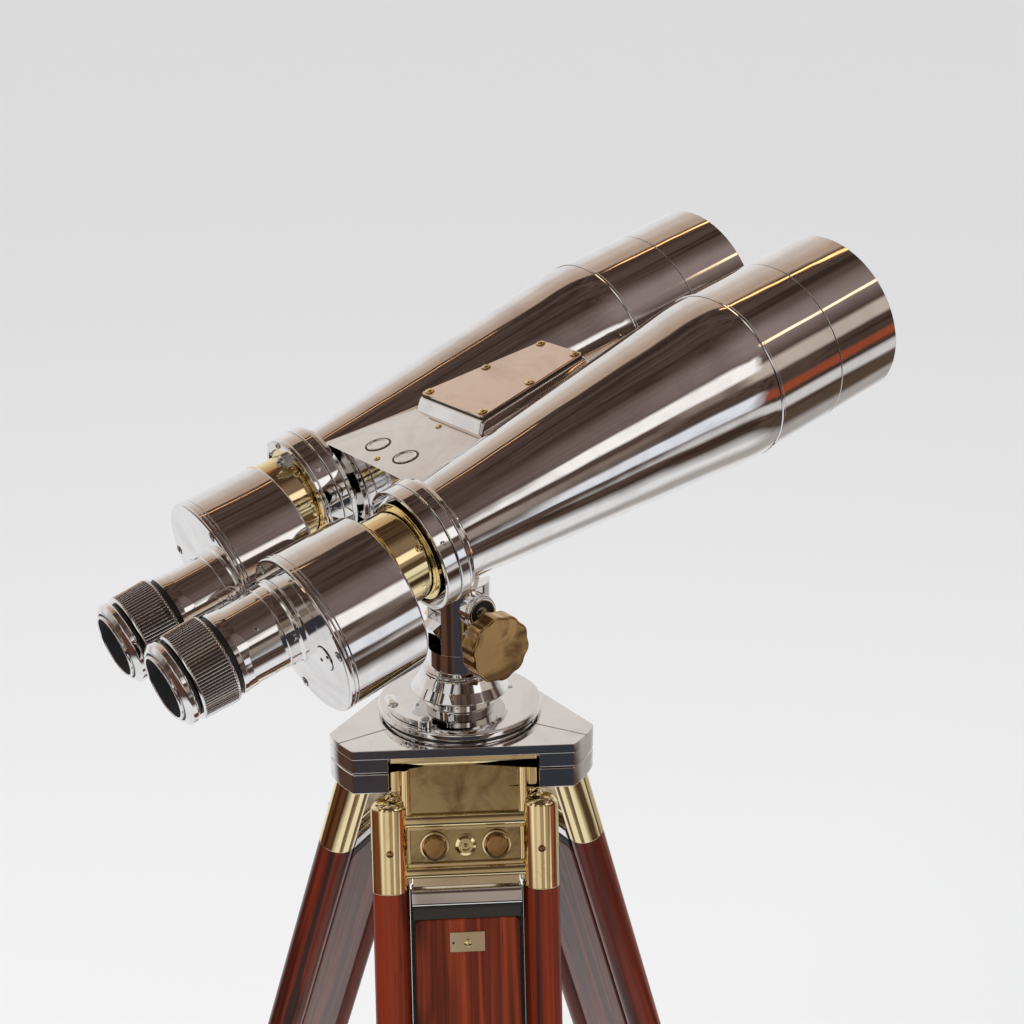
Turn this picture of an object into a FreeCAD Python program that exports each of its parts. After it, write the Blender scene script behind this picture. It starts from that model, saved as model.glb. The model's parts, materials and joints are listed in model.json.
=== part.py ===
import FreeCAD, Part
import math
import os

# Twin-barrel observation binocular on a folding wooden tripod, in millimetres, +Z up.
# The front leg points along -Y. Everything is drawn round the column's axis, then the whole part
# is moved so that its origin is the middle of its box at floor level.

V = FreeCAD.Vector

# ---- overall sizes and rest pose ----
disc_height = 1040.0          # floor to the top face of the azimuth disc
leg_splay = 17.35             # each leg's lean from the vertical, degrees
barrel_heading = 31.6         # where the barrels point, from +X about +Z
barrel_elevation = 15.65      # how far the barrels point up at rest
elevation_low = -15.0         # lowest and highest elevation that the tilt slot allows
elevation_high = 45.0

# ---- fits ----
running = 0.05                # radial clearance of a shaft in its bore
gap = 0.3                     # clearance between other faces that move past each other
seat = 0.1                    # clearance of a piece that is dropped into its seat

# ---- tripod head ----
head_radius = 102.0
head_flat = 65.0              # axis to each of the three flat sides
head_corner = 9.0             # rounding where a flat side meets the round corner
upper_plate = 18.0
lower_plate = 16.0
pocket_half_width = 53.5
pocket_depth = 22.0           # from the flat side inwards
pocket_roof = 7.0             # metal left over the hinge pocket
spindle_radius = 18.0
spindle_nut_radius = 27.0
spindle_nut_height = 12.0
seam_width = 0.8
seam_depth = 1.0

# ---- azimuth disc and its clamp lever ----
disc_radius = 60.7
disc_thickness = 8.0
disc_rim = 5.0                # height of the rim over the smaller foot
disc_foot_radius = 57.0
hub_radius = 33.0
hub_height = 8.2
lever_circle = 52.0           # lever pivot and thumb piece stand on this radius
lever_pivot_angle = 239.0
lever_thumb_angle = 193.0
lever_thickness = 3.4

# ---- column ----
column_radius = 23.0
cone_base_radius = 36.0
cone_top_radius = 27.0
cone_height = 16.5
cone_lip = 2.5
pivot_height = 78.0           # disc top to the tilt axis
ear_height = 17.0             # tilt axis to the top of the column's ears
clamp_drop = 20.0             # tilt axis down to the clamp screw
pad_reach = 28.0              # column axis to the faces of the side pads
pivot_pad_radius = 13.0
clamp_pad_radius = 10.5
tilt_pin_radius = 6.0
tilt_cap_height = 3.0

# ---- tilt knob ----
clamp_screw_radius = 5.0
knob_radius = 25.0
knob_thickness = 15.0
knob_neck = 10.2
knob_neck_radius = 7.5
knob_lobes = 10
clamp_nut_radius = 7.6
cap_room = 0.4                # tilt cap to the clamp nut and the knob's neck
tilt_cap_radius = clamp_drop - clamp_nut_radius - cap_room

# ---- saddle ----
tang_thickness = 16.0
tang_wall = 6.5
saddle_half_width = 30.0
saddle_rear = -36.0
saddle_front = 40.0
saddle_height = 27.0

# ---- binocular: x forward from the tilt axis, y to the left, z up ----
axis_rise = 100.1             # tilt axis up to the barrels' axes
barrel_wall = 4.0
barrel_rear = -38.0
barrel_front = 213.7
barrel_rear_radius = 35.5
barrel_front_radius = 62.8
shoulder_length = 46.0        # rounded shoulder behind the objective cell
cell_length = 60.6
hood_length = 57.0
hood_step = 0.2               # hood over the barrel's front radius
hood_radius = barrel_front_radius + hood_step
hood_spacing = 20.2           # clear space between the two hoods
barrel_half_spacing = hood_radius + hood_spacing / 2
hood_wall = 2.2
cell_wall = 4.5
cell_bead = 0.8
lens_seat = 14.0              # rear of the cell to the lens
lens_thickness = 14.0
lens_bulge = 3.0
bridge_top = 32.7             # above the barrels' axes
bridge_front = 144.0
boss_rear = 32.0
boss_front = 140.0
boss_rear_half = 42.0
boss_front_half = 27.0
boss_height = 9.3
plate_margin = 3.5
plate_thickness = 1.6
plate_screw_radius = 2.9
plug_radius = 8.5
plug_x = -18.0
plug_y = 17.8
bridge_screw_radius = 2.6

# ---- swivel flange and brass collar ----
flange_radius = 42.5
flange_length = 24.0
recess_radius = 39.5
recess_depth = 10.0
collar_radius = 31.0
collar_lip_radius = 34.5
collar_lip = 7.0
spigot_radius = 29.0
light_radius = 23.0
strap_thickness = 3.0         # locking strap on the left flange
strap_sweep = 150.0
thumb_radius = 5.4
thumb_length = 11.0
thumb_angle = 25.0            # locking nut's lean from the vertical towards the middle

# ---- prism drums, offset from the barrel's axis towards the middle and down ----
drum_room = 20.0              # clear space between the two drums
drum_down = 21.1
drum_radius = 54.5
drum_inward = barrel_half_spacing - drum_radius - drum_room / 2
drum_front = -86.4
drum_length = 54.0
drum_wall = 4.0
cover_thickness = 6.1
cover_lip = 0.3               # cover over the drum
cover_screw_circle = 49.0
cover_screw_radius = 2.9
adjuster_out = 27.4
adjuster_down = 5.6
adjuster_radius = 8.5

# ---- eyepieces, offset from the barrel's axis ----
eye_spacing = 76.8            # between the eyepieces' axes at rest
eyepiece_inward = barrel_half_spacing - eye_spacing / 2
eyepiece_down = 20.4
tube_radius = 27.5
tube_flange_radius = 30.3
tube_flange = 2.2
tube_length = 34.1
band_radius = 28.4
band_length = 11.1
sleeve_radius = 27.0
sleeve_length = 14.3
tube_bore = 22.0
focus_in = 3.0                # how far the eyecup moves inwards
ring_room = 1.0               # band to the focus ring at the end of that travel
ring_gap = focus_in + ring_room
ring_length = 25.8
ring_front_radius = 30.3
ring_rear_radius = 29.2
ring_web = 5.5
cup_gap = 3.0                 # black groove between focus ring and eyecup
cup_radius = 28.9
cup_groove = 2.5
cup_length = 9.4
eye_opening = 20.6
eye_lens_inset = 9.5          # eyecup's end in to the lens seat
eye_lens_gap = 1.5
eye_lens_radius = 19.0
eye_lens_thickness = 4.0
eye_lens_bulge = 1.2

# ---- legs: hinge axis at the origin, leg along -Z, outwards along -Y ----
hinge_radius = 50.1           # column axis to each leg hinge
hinge_drop = 22.5             # disc top down to the hinge
hinge_pin_radius = 4.0
hinge_barrel_radius = 6.5
pole_spacing = 54.0
pole_radius = 13.2
pole_step = 2.2               # pole over its spigot
pole_spigot_radius = pole_radius - pole_step
ferrule_lip = 0.3             # ferrule over the pole
ferrule_radius = pole_radius + ferrule_lip
ferrule_top = 29.3
ferrule_bottom = 95.3
panel_half_width = 37.2
panel_front = 3.5             # hinge line to the panel's front and back faces
panel_back = 4.5
panel_stop = 0.8              # panel's foot to the board's guide bar
rail_x = 42.3
rail_radius = 4.0
rail_top = 7.0
rail_bottom = 42.0
rib_tops = (39.5, 75.5)
rib_height = 10.0
rib_front = 8.5
rib_back = 6.0
bolt_drop = 62.5
bolt_boss_radius = 10.0
middle_bolt_radius = 7.8
bolt_boss_height = 6.0
spigot_depth = 34.8           # pole's spigot inside the ferrule
spigot_room = 0.5             # over the spigot's end
rib_half_width = 41.5
bolt_spacing = 22.2
board_room = 3.0              # board's edge to each pole
board_half_width = pole_spacing - pole_radius - board_room
board_thickness = 18.0
board_top = 114.7
cap_top = 93.0
guide_room = 1.5              # guide bar's end to each pole
cap_half_width = pole_spacing - pole_radius - guide_room
clamp_height = 46.0
clamp_lift = 86.0             # foot of the clamp up from the board's end
clamp_wall = 2.3
clamp_floor = 4.0             # metal under each pole's end
clamp_boss = 9.0              # radius of the boss round the leg knob's screw
clamp_boss_height = 5.0
clamp_radius = pole_radius + clamp_wall
leg_knob_radius = 15.0
leg_knob_length = 12.0
leg_knob_neck = 4.0
leg_neck_radius = 7.0
leg_screw_radius = 4.0
shoe_grip = 32.0              # length of board inside the shoe
shoe_foot = 34.0              # board's end to the floor, along the leg
shoe_wall = 3.0


# ---- helpers ----
def corner_edges(points, lift):
    """Edges of a closed outline; each point is (p, q, corner radius)."""
    ends = []
    count = len(points)
    for index in range(count):
        here = V(points[index][0], points[index][1], 0)
        before = V(points[index - 1][0], points[index - 1][1], 0)
        after = V(points[(index + 1) % count][0], points[(index + 1) % count][1], 0)
        radius = points[index][2]
        if radius <= 0:
            ends.append((here, None, here))
            continue
        back = (before - here).normalize()
        ahead = (after - here).normalize()
        half = back.getAngle(ahead) / 2
        reach = radius / math.tan(half)
        bisector = (back + ahead).normalize()
        middle = here + bisector * (radius / math.sin(half) - radius)
        ends.append((here + back * reach, middle, here + ahead * reach))
    edges = []
    for index in range(count):
        start, middle, finish = ends[index]
        if middle is not None:
            edges.append(Part.Arc(lift(start), lift(middle), lift(finish)).toShape())
        following = ends[(index + 1) % count][0]
        if finish.distanceToPoint(following) > 1e-6:
            edges.append(Part.makeLine(lift(finish), lift(following)))
    return edges


def profile_face(points, lift):
    wire = Part.Wire(Part.__sortEdges__(corner_edges(points, lift)))
    return Part.Face(wire)


def turned(points, y=0.0, z=0.0):
    """A turned piece: outline points (x, radius, corner radius) spun about a line along X."""
    face = profile_face(points, lambda p: V(p.x, y, z + p.y))
    return face.revolve(V(0, y, z), V(1, 0, 0), 360)


def turned_upright(points):
    """A turned piece: outline points (radius, z, corner radius) spun about the Z axis."""
    face = profile_face(points, lambda p: V(p.x, 0, p.y))
    return face.revolve(V(0, 0, 0), V(0, 0, 1), 360)


def plan(points, z, height):
    """Outline points (x, y, corner radius) in plan, extruded upwards."""
    return profile_face(points, lambda p: V(p.x, p.y, z)).extrude(V(0, 0, height))


def box(x, y, z):
    """A box from its (low, high) spans."""
    return Part.makeBox(x[1] - x[0], y[1] - y[0], z[1] - z[0], V(x[0], y[0], z[0]))


def rod(radius, start, finish):
    direction = V(*finish) - V(*start)
    return Part.makeCylinder(radius, direction.Length, V(*start), direction)


def scalloped(radius, thickness, lobes, cutter, depth):
    """A lobed knob about the Y axis, from y = 0 towards -Y."""
    body = rod(radius, (0, 0, 0), (0, -thickness, 0))
    edges = [edge for edge in body.Edges if edge.Curve.TypeId == "Part::GeomCircle"]
    body = body.makeFillet(1.5, edges)
    for index in range(lobes):
        angle = 2 * math.pi * index / lobes
        reach = radius - depth + cutter
        x = reach * math.cos(angle)
        z = reach * math.sin(angle)
        body = body.cut(rod(cutter, (x, 1, z), (x, -thickness - 1, z)))
    return body


def rotated(shape, degrees, axis=V(0, 0, 1), about=V(0, 0, 0)):
    copy = shape.copy()
    copy.rotate(about, axis, degrees)
    return copy


def moved(shape, x, y, z):
    copy = shape.copy()
    copy.translate(V(x, y, z))
    return copy


def dome_screw(radius, height):
    """A slotted dome-headed screw standing on z = 0, with a short shank below it."""
    head = turned_upright([(0, -2, 0), (radius * 0.5, -2, 0), (radius * 0.5, 0, 0), (radius, 0, 0),
                           (radius, height, height * 0.6), (0, height, 0)])
    slot = box((-radius * 1.1, radius * 1.1), (-radius * 0.13, radius * 0.13), (height * 0.55, height * 2))
    return head.cut(slot)


# ---- tripod head ----
upper_top = -disc_thickness
upper_bottom = upper_top - upper_plate
lower_bottom = upper_bottom - lower_plate
leg_angles = {"front": 270.0, "left": 150.0, "right": 30.0}


def head_blank(low, high):
    blank = Part.makeCylinder(head_radius, high - low, V(0, 0, low))
    for angle in leg_angles.values():
        side = box((head_flat, head_radius + 1), (-head_radius, head_radius), (low - 1, high + 1))
        blank = blank.cut(rotated(side, angle))
    upright = [edge for edge in blank.Edges
               if len(edge.Vertexes) == 2 and abs(edge.tangentAt(edge.FirstParameter).z) > 0.99]
    blank = blank.makeFillet(head_corner, upright)
    return blank.cut(Part.makeCylinder(spindle_radius + running, 200, V(0, 0, -100)))


def hinge_pocket(low, high, angle):
    across = (-pocket_half_width, pocket_half_width)
    pocket = box((head_flat - pocket_depth, head_flat + 1), across, (low, high))
    return rotated(pocket, angle)


def pin_hole(radius, half_length, angle):
    hole = rod(radius, (hinge_radius, -half_length, -hinge_drop), (hinge_radius, half_length, -hinge_drop))
    return rotated(hole, angle)


def make_upper_plate():
    plate = head_blank(upper_bottom, upper_top)
    for angle in leg_angles.values():
        plate = plate.cut(hinge_pocket(upper_bottom - 1, upper_top - pocket_roof, angle))
        plate = plate.cut(pin_hole(hinge_pin_radius, pocket_half_width + 9, angle))
        seam = box((disc_radius - 3, head_radius + 1), (-seam_width / 2, seam_width / 2),
                   (upper_top - seam_depth, upper_top + 1))
        plate = plate.cut(rotated(seam, angle + 60))
    return plate


def make_lower_plate():
    plate = head_blank(lower_bottom, upper_bottom)
    for angle in leg_angles.values():
        plate = plate.cut(hinge_pocket(lower_bottom - 1, upper_bottom + 1, angle))
        plate = plate.cut(pin_hole(hinge_pin_radius, pocket_half_width + 9, angle))
    rim = [edge for edge in plate.Edges if abs(edge.CenterOfMass.z - lower_bottom) < 0.01
           and edge.CenterOfMass.Length > head_flat and edge.Curve.TypeId == "Part::GeomCircle"]
    return plate.makeChamfer(1.5, rim) if rim else plate


def make_hinge_pins():
    pins = [pin_hole(hinge_pin_radius, pocket_half_width + 8, angle) for angle in leg_angles.values()]
    return Part.makeCompound(pins)


def make_azimuth_disc():
    bore = spindle_radius + running
    return turned_upright([(bore, -disc_thickness, 0), (disc_foot_radius, -disc_thickness, 0),
                           (disc_foot_radius, -disc_rim, 0.6), (disc_radius, -disc_rim, 1),
                           (disc_radius, 0, 1.6), (hub_radius, 0, 0.8),
                           (hub_radius, hub_height, 0.6), (bore, hub_height, 0)])


def on_circle(radius, angle):
    return radius * math.cos(math.radians(angle)), radius * math.sin(math.radians(angle))


lever_pivot = on_circle(lever_circle, lever_pivot_angle)
lever_thumb = on_circle(lever_circle, lever_thumb_angle)


def make_azimuth_lever():
    """A curved arm that follows the disc's rim from its pivot screw to an upturned thumb piece."""
    base = gap
    arm = Part.makeCylinder(lever_circle + 2.6, lever_thickness, V(0, 0, base))
    arm = arm.cut(Part.makeCylinder(lever_circle - 2.6, 20, V(0, 0, -5)))
    sweep = lever_pivot_angle - lever_thumb_angle
    wedge = Part.makeCylinder(lever_circle * 2, 20, V(0, 0, -5), V(0, 0, 1), sweep)
    arm = arm.common(rotated(wedge, lever_thumb_angle))
    boss = Part.makeCylinder(5.2, lever_thickness + 1.2, V(lever_pivot[0], lever_pivot[1], base))
    screw = moved(dome_screw(3.0, 1.4), lever_pivot[0], lever_pivot[1], base + lever_thickness + 1.2)
    thumb = Part.makeSphere(6.2)
    squash = FreeCAD.Matrix()
    squash.scale(0.72, 1.25, 0.5)
    thumb = rotated(thumb.transformGeometry(squash), lever_thumb_angle)
    thumb = moved(thumb, lever_thumb[0], lever_thumb[1], base + 3.2)
    return arm.fuse([boss, screw, thumb]).removeSplitter()


# ---- column, drawn with the barrels pointing along +X and then turned to their heading ----
def turned_to_heading(shape):
    return rotated(shape, barrel_heading)


def column_and_spindle():
    low = hub_height + 0.2
    top = pivot_height + ear_height
    body = turned_upright([(0, low, 0), (cone_base_radius, low, 0.8), (cone_top_radius, low + cone_height, 1),
                           (cone_top_radius, low + cone_height + cone_lip, 1),
                           (column_radius, low + cone_height + cone_lip, 0.8), (column_radius, top, 0),
                           (0, top, 0)])
    ears = rod(column_radius + 1, (0, -40, pivot_height - 6), (0, 40, pivot_height - 6))
    ears = ears.fuse(box((-50, 50), (-40, 40), (0, pivot_height - 6)))
    body = body.common(ears)
    for sign in (-1, 1):
        body = body.fuse(rod(pivot_pad_radius, (0, 0, pivot_height), (0, sign * pad_reach, pivot_height)))
        clamp_z = pivot_height - clamp_drop
        body = body.fuse(rod(clamp_pad_radius, (0, 0, clamp_z), (0, sign * pad_reach, clamp_z)))
    slot = tang_thickness / 2 + gap
    tang_reach = clamp_drop + clamp_screw_radius + tang_wall
    slot_floor = pivot_height - tang_reach - 3
    body = body.cut(box((-60, 60), (-slot, slot), (slot_floor, top + 1)))
    body = body.cut(rod(tilt_pin_radius, (0, -60, pivot_height), (0, 60, pivot_height)))
    clamp_hole = clamp_screw_radius + running
    body = body.cut(rod(clamp_hole, (0, -60, pivot_height - clamp_drop), (0, 60, pivot_height - clamp_drop)))
    spindle_bottom = lower_bottom - spindle_nut_height - 6
    spindle = Part.makeCylinder(spindle_radius, low - spindle_bottom, V(0, 0, spindle_bottom))
    return turned_to_heading(body.fuse(spindle).removeSplitter())


def spindle_nut():
    top = lower_bottom - gap
    corners = [on_circle(spindle_nut_radius, 60 * index) + (2.0,) for index in range(6)]
    nut = plan(corners, top - spindle_nut_height, spindle_nut_height)
    return nut.cut(Part.makeCylinder(spindle_radius, 100, V(0, 0, top - 60)))


def make_column():
    """Column with its cone, ears, side pads and spindle, and the nut under the head."""
    return Part.makeCompound([column_and_spindle(), spindle_nut()])


def make_tilt_pin():
    pin = rod(tilt_pin_radius, (0, -pad_reach, pivot_height), (0, pad_reach, pivot_height))
    for sign in (-1, 1):
        cap = turned_upright([(0, 0, 0), (tilt_cap_radius, 0, 0), (tilt_cap_radius, tilt_cap_height, 2),
                              (0, tilt_cap_height, 0)])
        cap = rotated(cap, -90 * sign, V(1, 0, 0))
        pin = pin.fuse(moved(cap, 0, sign * pad_reach, pivot_height))
    return turned_to_heading(pin.removeSplitter())


def make_tilt_knob():
    """Knob on the right of the column; its screw crosses the tang's slot to a nut on the left."""
    head = scalloped(knob_radius, knob_thickness, knob_lobes, 12.0, 1.8)
    hollow = turned([(0, 0, 0), (0, knob_radius * 0.72, 0), (1.0, knob_radius * 0.68, 0), (1.0, 0, 0)])
    hollow = rotated(hollow, 90)
    head = head.cut(moved(hollow, 0, -knob_thickness, 0))
    neck = rod(knob_neck_radius, (0, 0, 0), (0, knob_neck, 0))
    knob = moved(head.fuse(neck), 0, -pad_reach - gap - knob_neck, 0)
    screw_end = pad_reach + 9
    knob = knob.fuse(rod(clamp_screw_radius, (0, -pad_reach - 2, 0), (0, screw_end, 0)))
    corners = [on_circle(clamp_nut_radius, 60 * index) + (0.8,) for index in range(6)]
    nut = rotated(plan(corners, 0, 7.0), -90, V(1, 0, 0))
    knob = knob.fuse(moved(nut, 0, pad_reach + gap, 0)).removeSplitter()
    return turned_to_heading(moved(knob, 0, 0, pivot_height - clamp_drop))


# ---- binocular, drawn level about its tilt axis ----
def placed_binocular(shape):
    copy = rotated(shape, -barrel_elevation, V(0, 1, 0))
    return moved(rotated(copy, barrel_heading), 0, 0, pivot_height)


def slot_arc(radius_in, radius_out, low, high, half_thickness):
    """Part of a ring about the tilt axis, between two elevations, straddling y = 0."""
    ring = rod(radius_out, (0, -half_thickness, 0), (0, half_thickness, 0))
    if radius_in > 0:
        ring = ring.cut(rod(radius_in, (0, -half_thickness - 1, 0), (0, half_thickness + 1, 0)))
    far = radius_out * 2
    points = [V(0, -half_thickness - 2, 0)]
    steps = 6
    for index in range(steps + 1):
        angle = math.radians(low + (high - low) * index / steps)
        points.append(V(-far * math.sin(angle), -half_thickness - 2, -far * math.cos(angle)))
    points.append(points[0])
    wedge = Part.Face(Part.makePolygon(points)).extrude(V(0, 2 * half_thickness + 4, 0))
    return ring.common(wedge)


def make_saddle():
    """Block bolted under the bridge, with the tang that tilts between the column's ears."""
    bottom = axis_rise - bridge_top - saddle_height
    top = axis_rise - bridge_top
    half = tang_thickness / 2
    outline = [(saddle_rear, -saddle_half_width, 3), (saddle_front, -saddle_half_width, 3),
               (saddle_front, saddle_half_width, 3), (saddle_rear, saddle_half_width, 3)]
    block = plan(outline, bottom, top - bottom)
    reach = clamp_drop + clamp_screw_radius + tang_wall
    margin = math.degrees((clamp_screw_radius + tang_wall) / clamp_drop)
    tang = slot_arc(0, reach, elevation_low - margin, elevation_high + margin, half)
    tang = tang.fuse(rod(ear_height, (0, -half, 0), (0, half, 0)))
    tang = tang.fuse(box((-ear_height, ear_height), (-half, half), (0, bottom + 1)))
    slot_half = clamp_screw_radius + gap
    slot = slot_arc(clamp_drop - slot_half, clamp_drop + slot_half,
                    elevation_low - 1, elevation_high + 1, half + 1)
    for elevation in (elevation_low - 1, elevation_high + 1):
        angle = math.radians(elevation)
        x = -clamp_drop * math.sin(angle)
        z = -clamp_drop * math.cos(angle)
        slot = slot.fuse(rod(slot_half, (x, -half - 1, z), (x, half + 1, z)))
    saddle = block.fuse(tang).cut(slot)
    saddle = saddle.cut(rod(tilt_pin_radius + running, (0, -20, 0), (0, 20, 0)))
    return placed_binocular(saddle.removeSplitter())


def barrel_radius(x):
    """Outer radius of the straight taper at x."""
    shoulder = barrel_front - shoulder_length
    shoulder_radius = barrel_front_radius * 0.932
    slope = (shoulder_radius - barrel_rear_radius) / (shoulder - barrel_rear)
    return barrel_rear_radius + slope * (x - barrel_rear)


def barrel_solid(y, inset):
    """A tapered barrel, its outside moved in by inset, with a rounded shoulder at the front."""
    shoulder = barrel_front - shoulder_length
    rear = V(barrel_rear, y, axis_rise + barrel_rear_radius - inset)
    bend = V(shoulder, y, axis_rise + barrel_radius(shoulder) - inset)
    front = V(barrel_front, y, axis_rise + barrel_front_radius - inset)
    curve = Part.BSplineCurve()
    slope = (bend.z - rear.z) / (bend.x - rear.x)
    curve.interpolate(Points=[bend, front], Tangents=[V(1, 0, slope), V(1, 0, 0)], TangentFlags=[True, True])
    edges = [Part.makeLine(V(barrel_rear, y, axis_rise), rear), Part.makeLine(rear, bend), curve.toShape(),
             Part.makeLine(front, V(barrel_front, y, axis_rise)),
             Part.makeLine(V(barrel_front, y, axis_rise), V(barrel_rear, y, axis_rise))]
    return Part.Face(Part.Wire(edges)).revolve(V(0, y, axis_rise), V(1, 0, 0), 360)


def boss_outline(margin):
    rear_half = boss_rear_half - margin
    front_half = boss_front_half - margin
    return [(boss_rear + margin, -rear_half, 3), (boss_front - margin, -front_half, 3),
            (boss_front - margin, front_half, 3), (boss_rear + margin, rear_half, 3)]


def bridge_fittings():
    """(x, y, radius) of the plugs and small screws in the bridge's flat top."""
    return [(plug_x, -plug_y, plug_radius), (plug_x, plug_y, plug_radius),
            (plug_x - 12.4, 0.0, bridge_screw_radius), (plug_x + 39.5, 0.0, bridge_screw_radius)]


def make_body():
    """One casting: two tapered barrels and the flat bridge between them."""
    y = barrel_half_spacing
    low = axis_rise - bridge_top
    high = axis_rise + bridge_top
    body = box((barrel_rear, bridge_front), (-y, y), (low, high))
    boss = plan(boss_outline(0), high - 1, boss_height + 1)
    boss_edges = [edge for edge in boss.Edges if abs(edge.CenterOfMass.z - high - boss_height) < 0.01]
    body = body.fuse(boss.makeFillet(2.0, boss_edges))
    body = body.fuse([barrel_solid(-y, 0), barrel_solid(y, 0)])
    for side in (-y, y):
        body = body.cut(barrel_solid(side, barrel_wall))
    pocket_x = (saddle_rear + 8, saddle_front - 8)
    body = body.cut(box(pocket_x, (-saddle_half_width + 6, saddle_half_width - 6), (low - 1, high - 8)))
    for x, side, radius in bridge_fittings():
        body = body.cut(Part.makeCylinder(radius + 0.8, 5, V(x, side, high - 4)))
    body = body.cut(nameplate_holes())
    return placed_binocular(body.removeSplitter())


def make_cell(side):
    start = barrel_front
    finish = start + cell_length
    outer = barrel_front_radius
    inner = outer - cell_wall
    return placed_binocular(turned([
        (start, inner - 3, 0), (start, outer, 0), (start + 0.6, outer + cell_bead, 0.3),
        (start + 2.4, outer + cell_bead, 0.4), (start + 3.2, outer, 0), (finish, hood_radius - 0.3, 0.4),
        (finish, inner, 0), (start + lens_seat, inner, 0), (start + lens_seat, inner - 3, 0)],
        side * barrel_half_spacing, axis_rise))


def make_hood(side):
    start = barrel_front + cell_length
    finish = start + hood_length
    inner = hood_radius - hood_wall
    return placed_binocular(turned([
        (start, hood_radius - cell_wall, 0), (start, hood_radius, 0.5), (finish, hood_radius, 0.9),
        (finish, inner, 0.9), (start + 5, inner, 0), (start + 5, hood_radius - cell_wall, 0)],
        side * barrel_half_spacing, axis_rise))


def lens(x, radius, thickness, rear_bulge, front_bulge, y, z):
    """A round lens: rim from x to x + thickness, each face flat or bulging outwards."""
    front = x + thickness
    edges = [Part.makeLine(V(x, y, z + radius), V(front, y, z + radius))]
    for face_x, bulge, way in ((x, rear_bulge, -1), (front, front_bulge, 1)):
        pole = V(face_x + way * bulge, y, z)
        rim = V(face_x, y, z + radius)
        if bulge == 0:
            edges.append(Part.makeLine(pole, rim))
            continue
        sphere = (radius ** 2 + bulge ** 2) / (2 * bulge)
        half_turn = math.asin(radius / sphere) / 2
        middle = V(pole.x - way * sphere * (1 - math.cos(half_turn)), y, z + sphere * math.sin(half_turn))
        edges.append(Part.Arc(pole, middle, rim).toShape())
    edges.append(Part.makeLine(V(x - rear_bulge, y, z), V(front + front_bulge, y, z)))
    wire = Part.Wire(Part.__sortEdges__(edges))
    return Part.Face(wire).revolve(V(0, y, z), V(1, 0, 0), 360)


def make_objective(side):
    radius = barrel_front_radius - cell_wall - seat
    y = side * barrel_half_spacing
    start = barrel_front + lens_seat
    return placed_binocular(lens(start, radius, lens_thickness, 0, lens_bulge, y, axis_rise))


def make_flange(side):
    start = barrel_rear - flange_length
    middle = barrel_rear - flange_length * 0.55
    bore = spigot_radius + running
    return placed_binocular(turned([
        (start, recess_radius, 0), (start, flange_radius, 0.8), (middle - 0.7, flange_radius, 0.6),
        (middle, flange_radius - 0.8, 0), (middle + 0.7, flange_radius + 0.5, 0.5),
        (barrel_rear - 5, flange_radius + 0.8, 1.2), (barrel_rear - 4, flange_radius - 2, 0.6),
        (barrel_rear, flange_radius - 3.5, 0.6), (barrel_rear, bore, 0),
        (start + recess_depth, bore, 0), (start + recess_depth, recess_radius, 0)],
        side * barrel_half_spacing, axis_rise))


def nameplate_screw_places():
    places = []
    inset = plate_margin + 4.5
    for share in (0.0, 0.5, 1.0):
        x = boss_rear + inset + share * (boss_front - boss_rear - 2 * inset)
        forward = (x - boss_rear) / (boss_front - boss_rear)
        half = boss_rear_half + (boss_front_half - boss_rear_half) * forward
        places.append((x, -half + inset))
        places.append((x, half - inset))
    return places


def nameplate_holes():
    high = axis_rise + bridge_top + boss_height
    shank = plate_screw_radius / 2
    holes = [Part.makeCylinder(shank, 8, V(x, y, high - 2)) for x, y in nameplate_screw_places()]
    return Part.makeCompound(holes)


def make_nameplate():
    plate = plan(boss_outline(plate_margin), axis_rise + bridge_top + boss_height, plate_thickness)
    return placed_binocular(plate.cut(nameplate_holes()))


def make_bridge_screws():
    top = axis_rise + bridge_top
    pieces = []
    for x, y in nameplate_screw_places():
        screw = moved(dome_screw(plate_screw_radius, 2.0), x, y, top + boss_height + plate_thickness)
        pieces.append(screw)
    for x, y, radius in bridge_fittings():
        plug = Part.makeCylinder(radius + 0.7, 3.0, V(x, y, top - 4))
        ring = Part.makeCylinder(radius + 0.7, 1.5, V(x, y, top - 1))
        ring = ring.cut(Part.makeCylinder(radius * 0.86, 4, V(x, y, top - 2)))
        slot = box((x - radius, x + radius), (y - radius * 0.12, y + radius * 0.12), (top - 2.2, top))
        pieces.append(plug.fuse(ring).cut(slot).removeSplitter())
    return placed_binocular(Part.makeCompound(pieces))


# ---- prism drums and eyepieces ----
def drum_centre(side):
    return side * (barrel_half_spacing - drum_inward), axis_rise - drum_down


def eyepiece_centre(side):
    return side * (barrel_half_spacing - eyepiece_inward), axis_rise - eyepiece_down


def make_collar(side):
    y = side * barrel_half_spacing
    lip_front = barrel_rear - flange_length + 6
    lip_rear = lip_front - collar_lip
    spigot_end = barrel_rear - 4
    return placed_binocular(turned([
        (drum_front, light_radius, 0), (drum_front, collar_radius + 1.5, 0),
        (drum_front + 1.5, collar_radius, 0.4), (lip_rear, collar_radius, 0.4),
        (lip_rear, collar_lip_radius, 0.5), (lip_front, collar_lip_radius, 0.5),
        (lip_front, spigot_radius, 0), (spigot_end, spigot_radius, 0.5), (spigot_end, light_radius, 0)],
        y, axis_rise))


def make_drum(side):
    y, z = drum_centre(side)
    rear = drum_front - drum_length
    inner = drum_radius - drum_wall
    drum = turned([(rear, inner, 0), (rear, drum_radius, 0.3), (drum_front, drum_radius, 2.2),
                   (drum_front, 0, 0), (drum_front - drum_wall, 0, 0),
                   (drum_front - drum_wall, inner, 1.5)], y, z)
    light = rod(light_radius, (drum_front - 10, side * barrel_half_spacing, axis_rise),
                (drum_front + 10, side * barrel_half_spacing, axis_rise))
    return placed_binocular(drum.cut(light))


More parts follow.
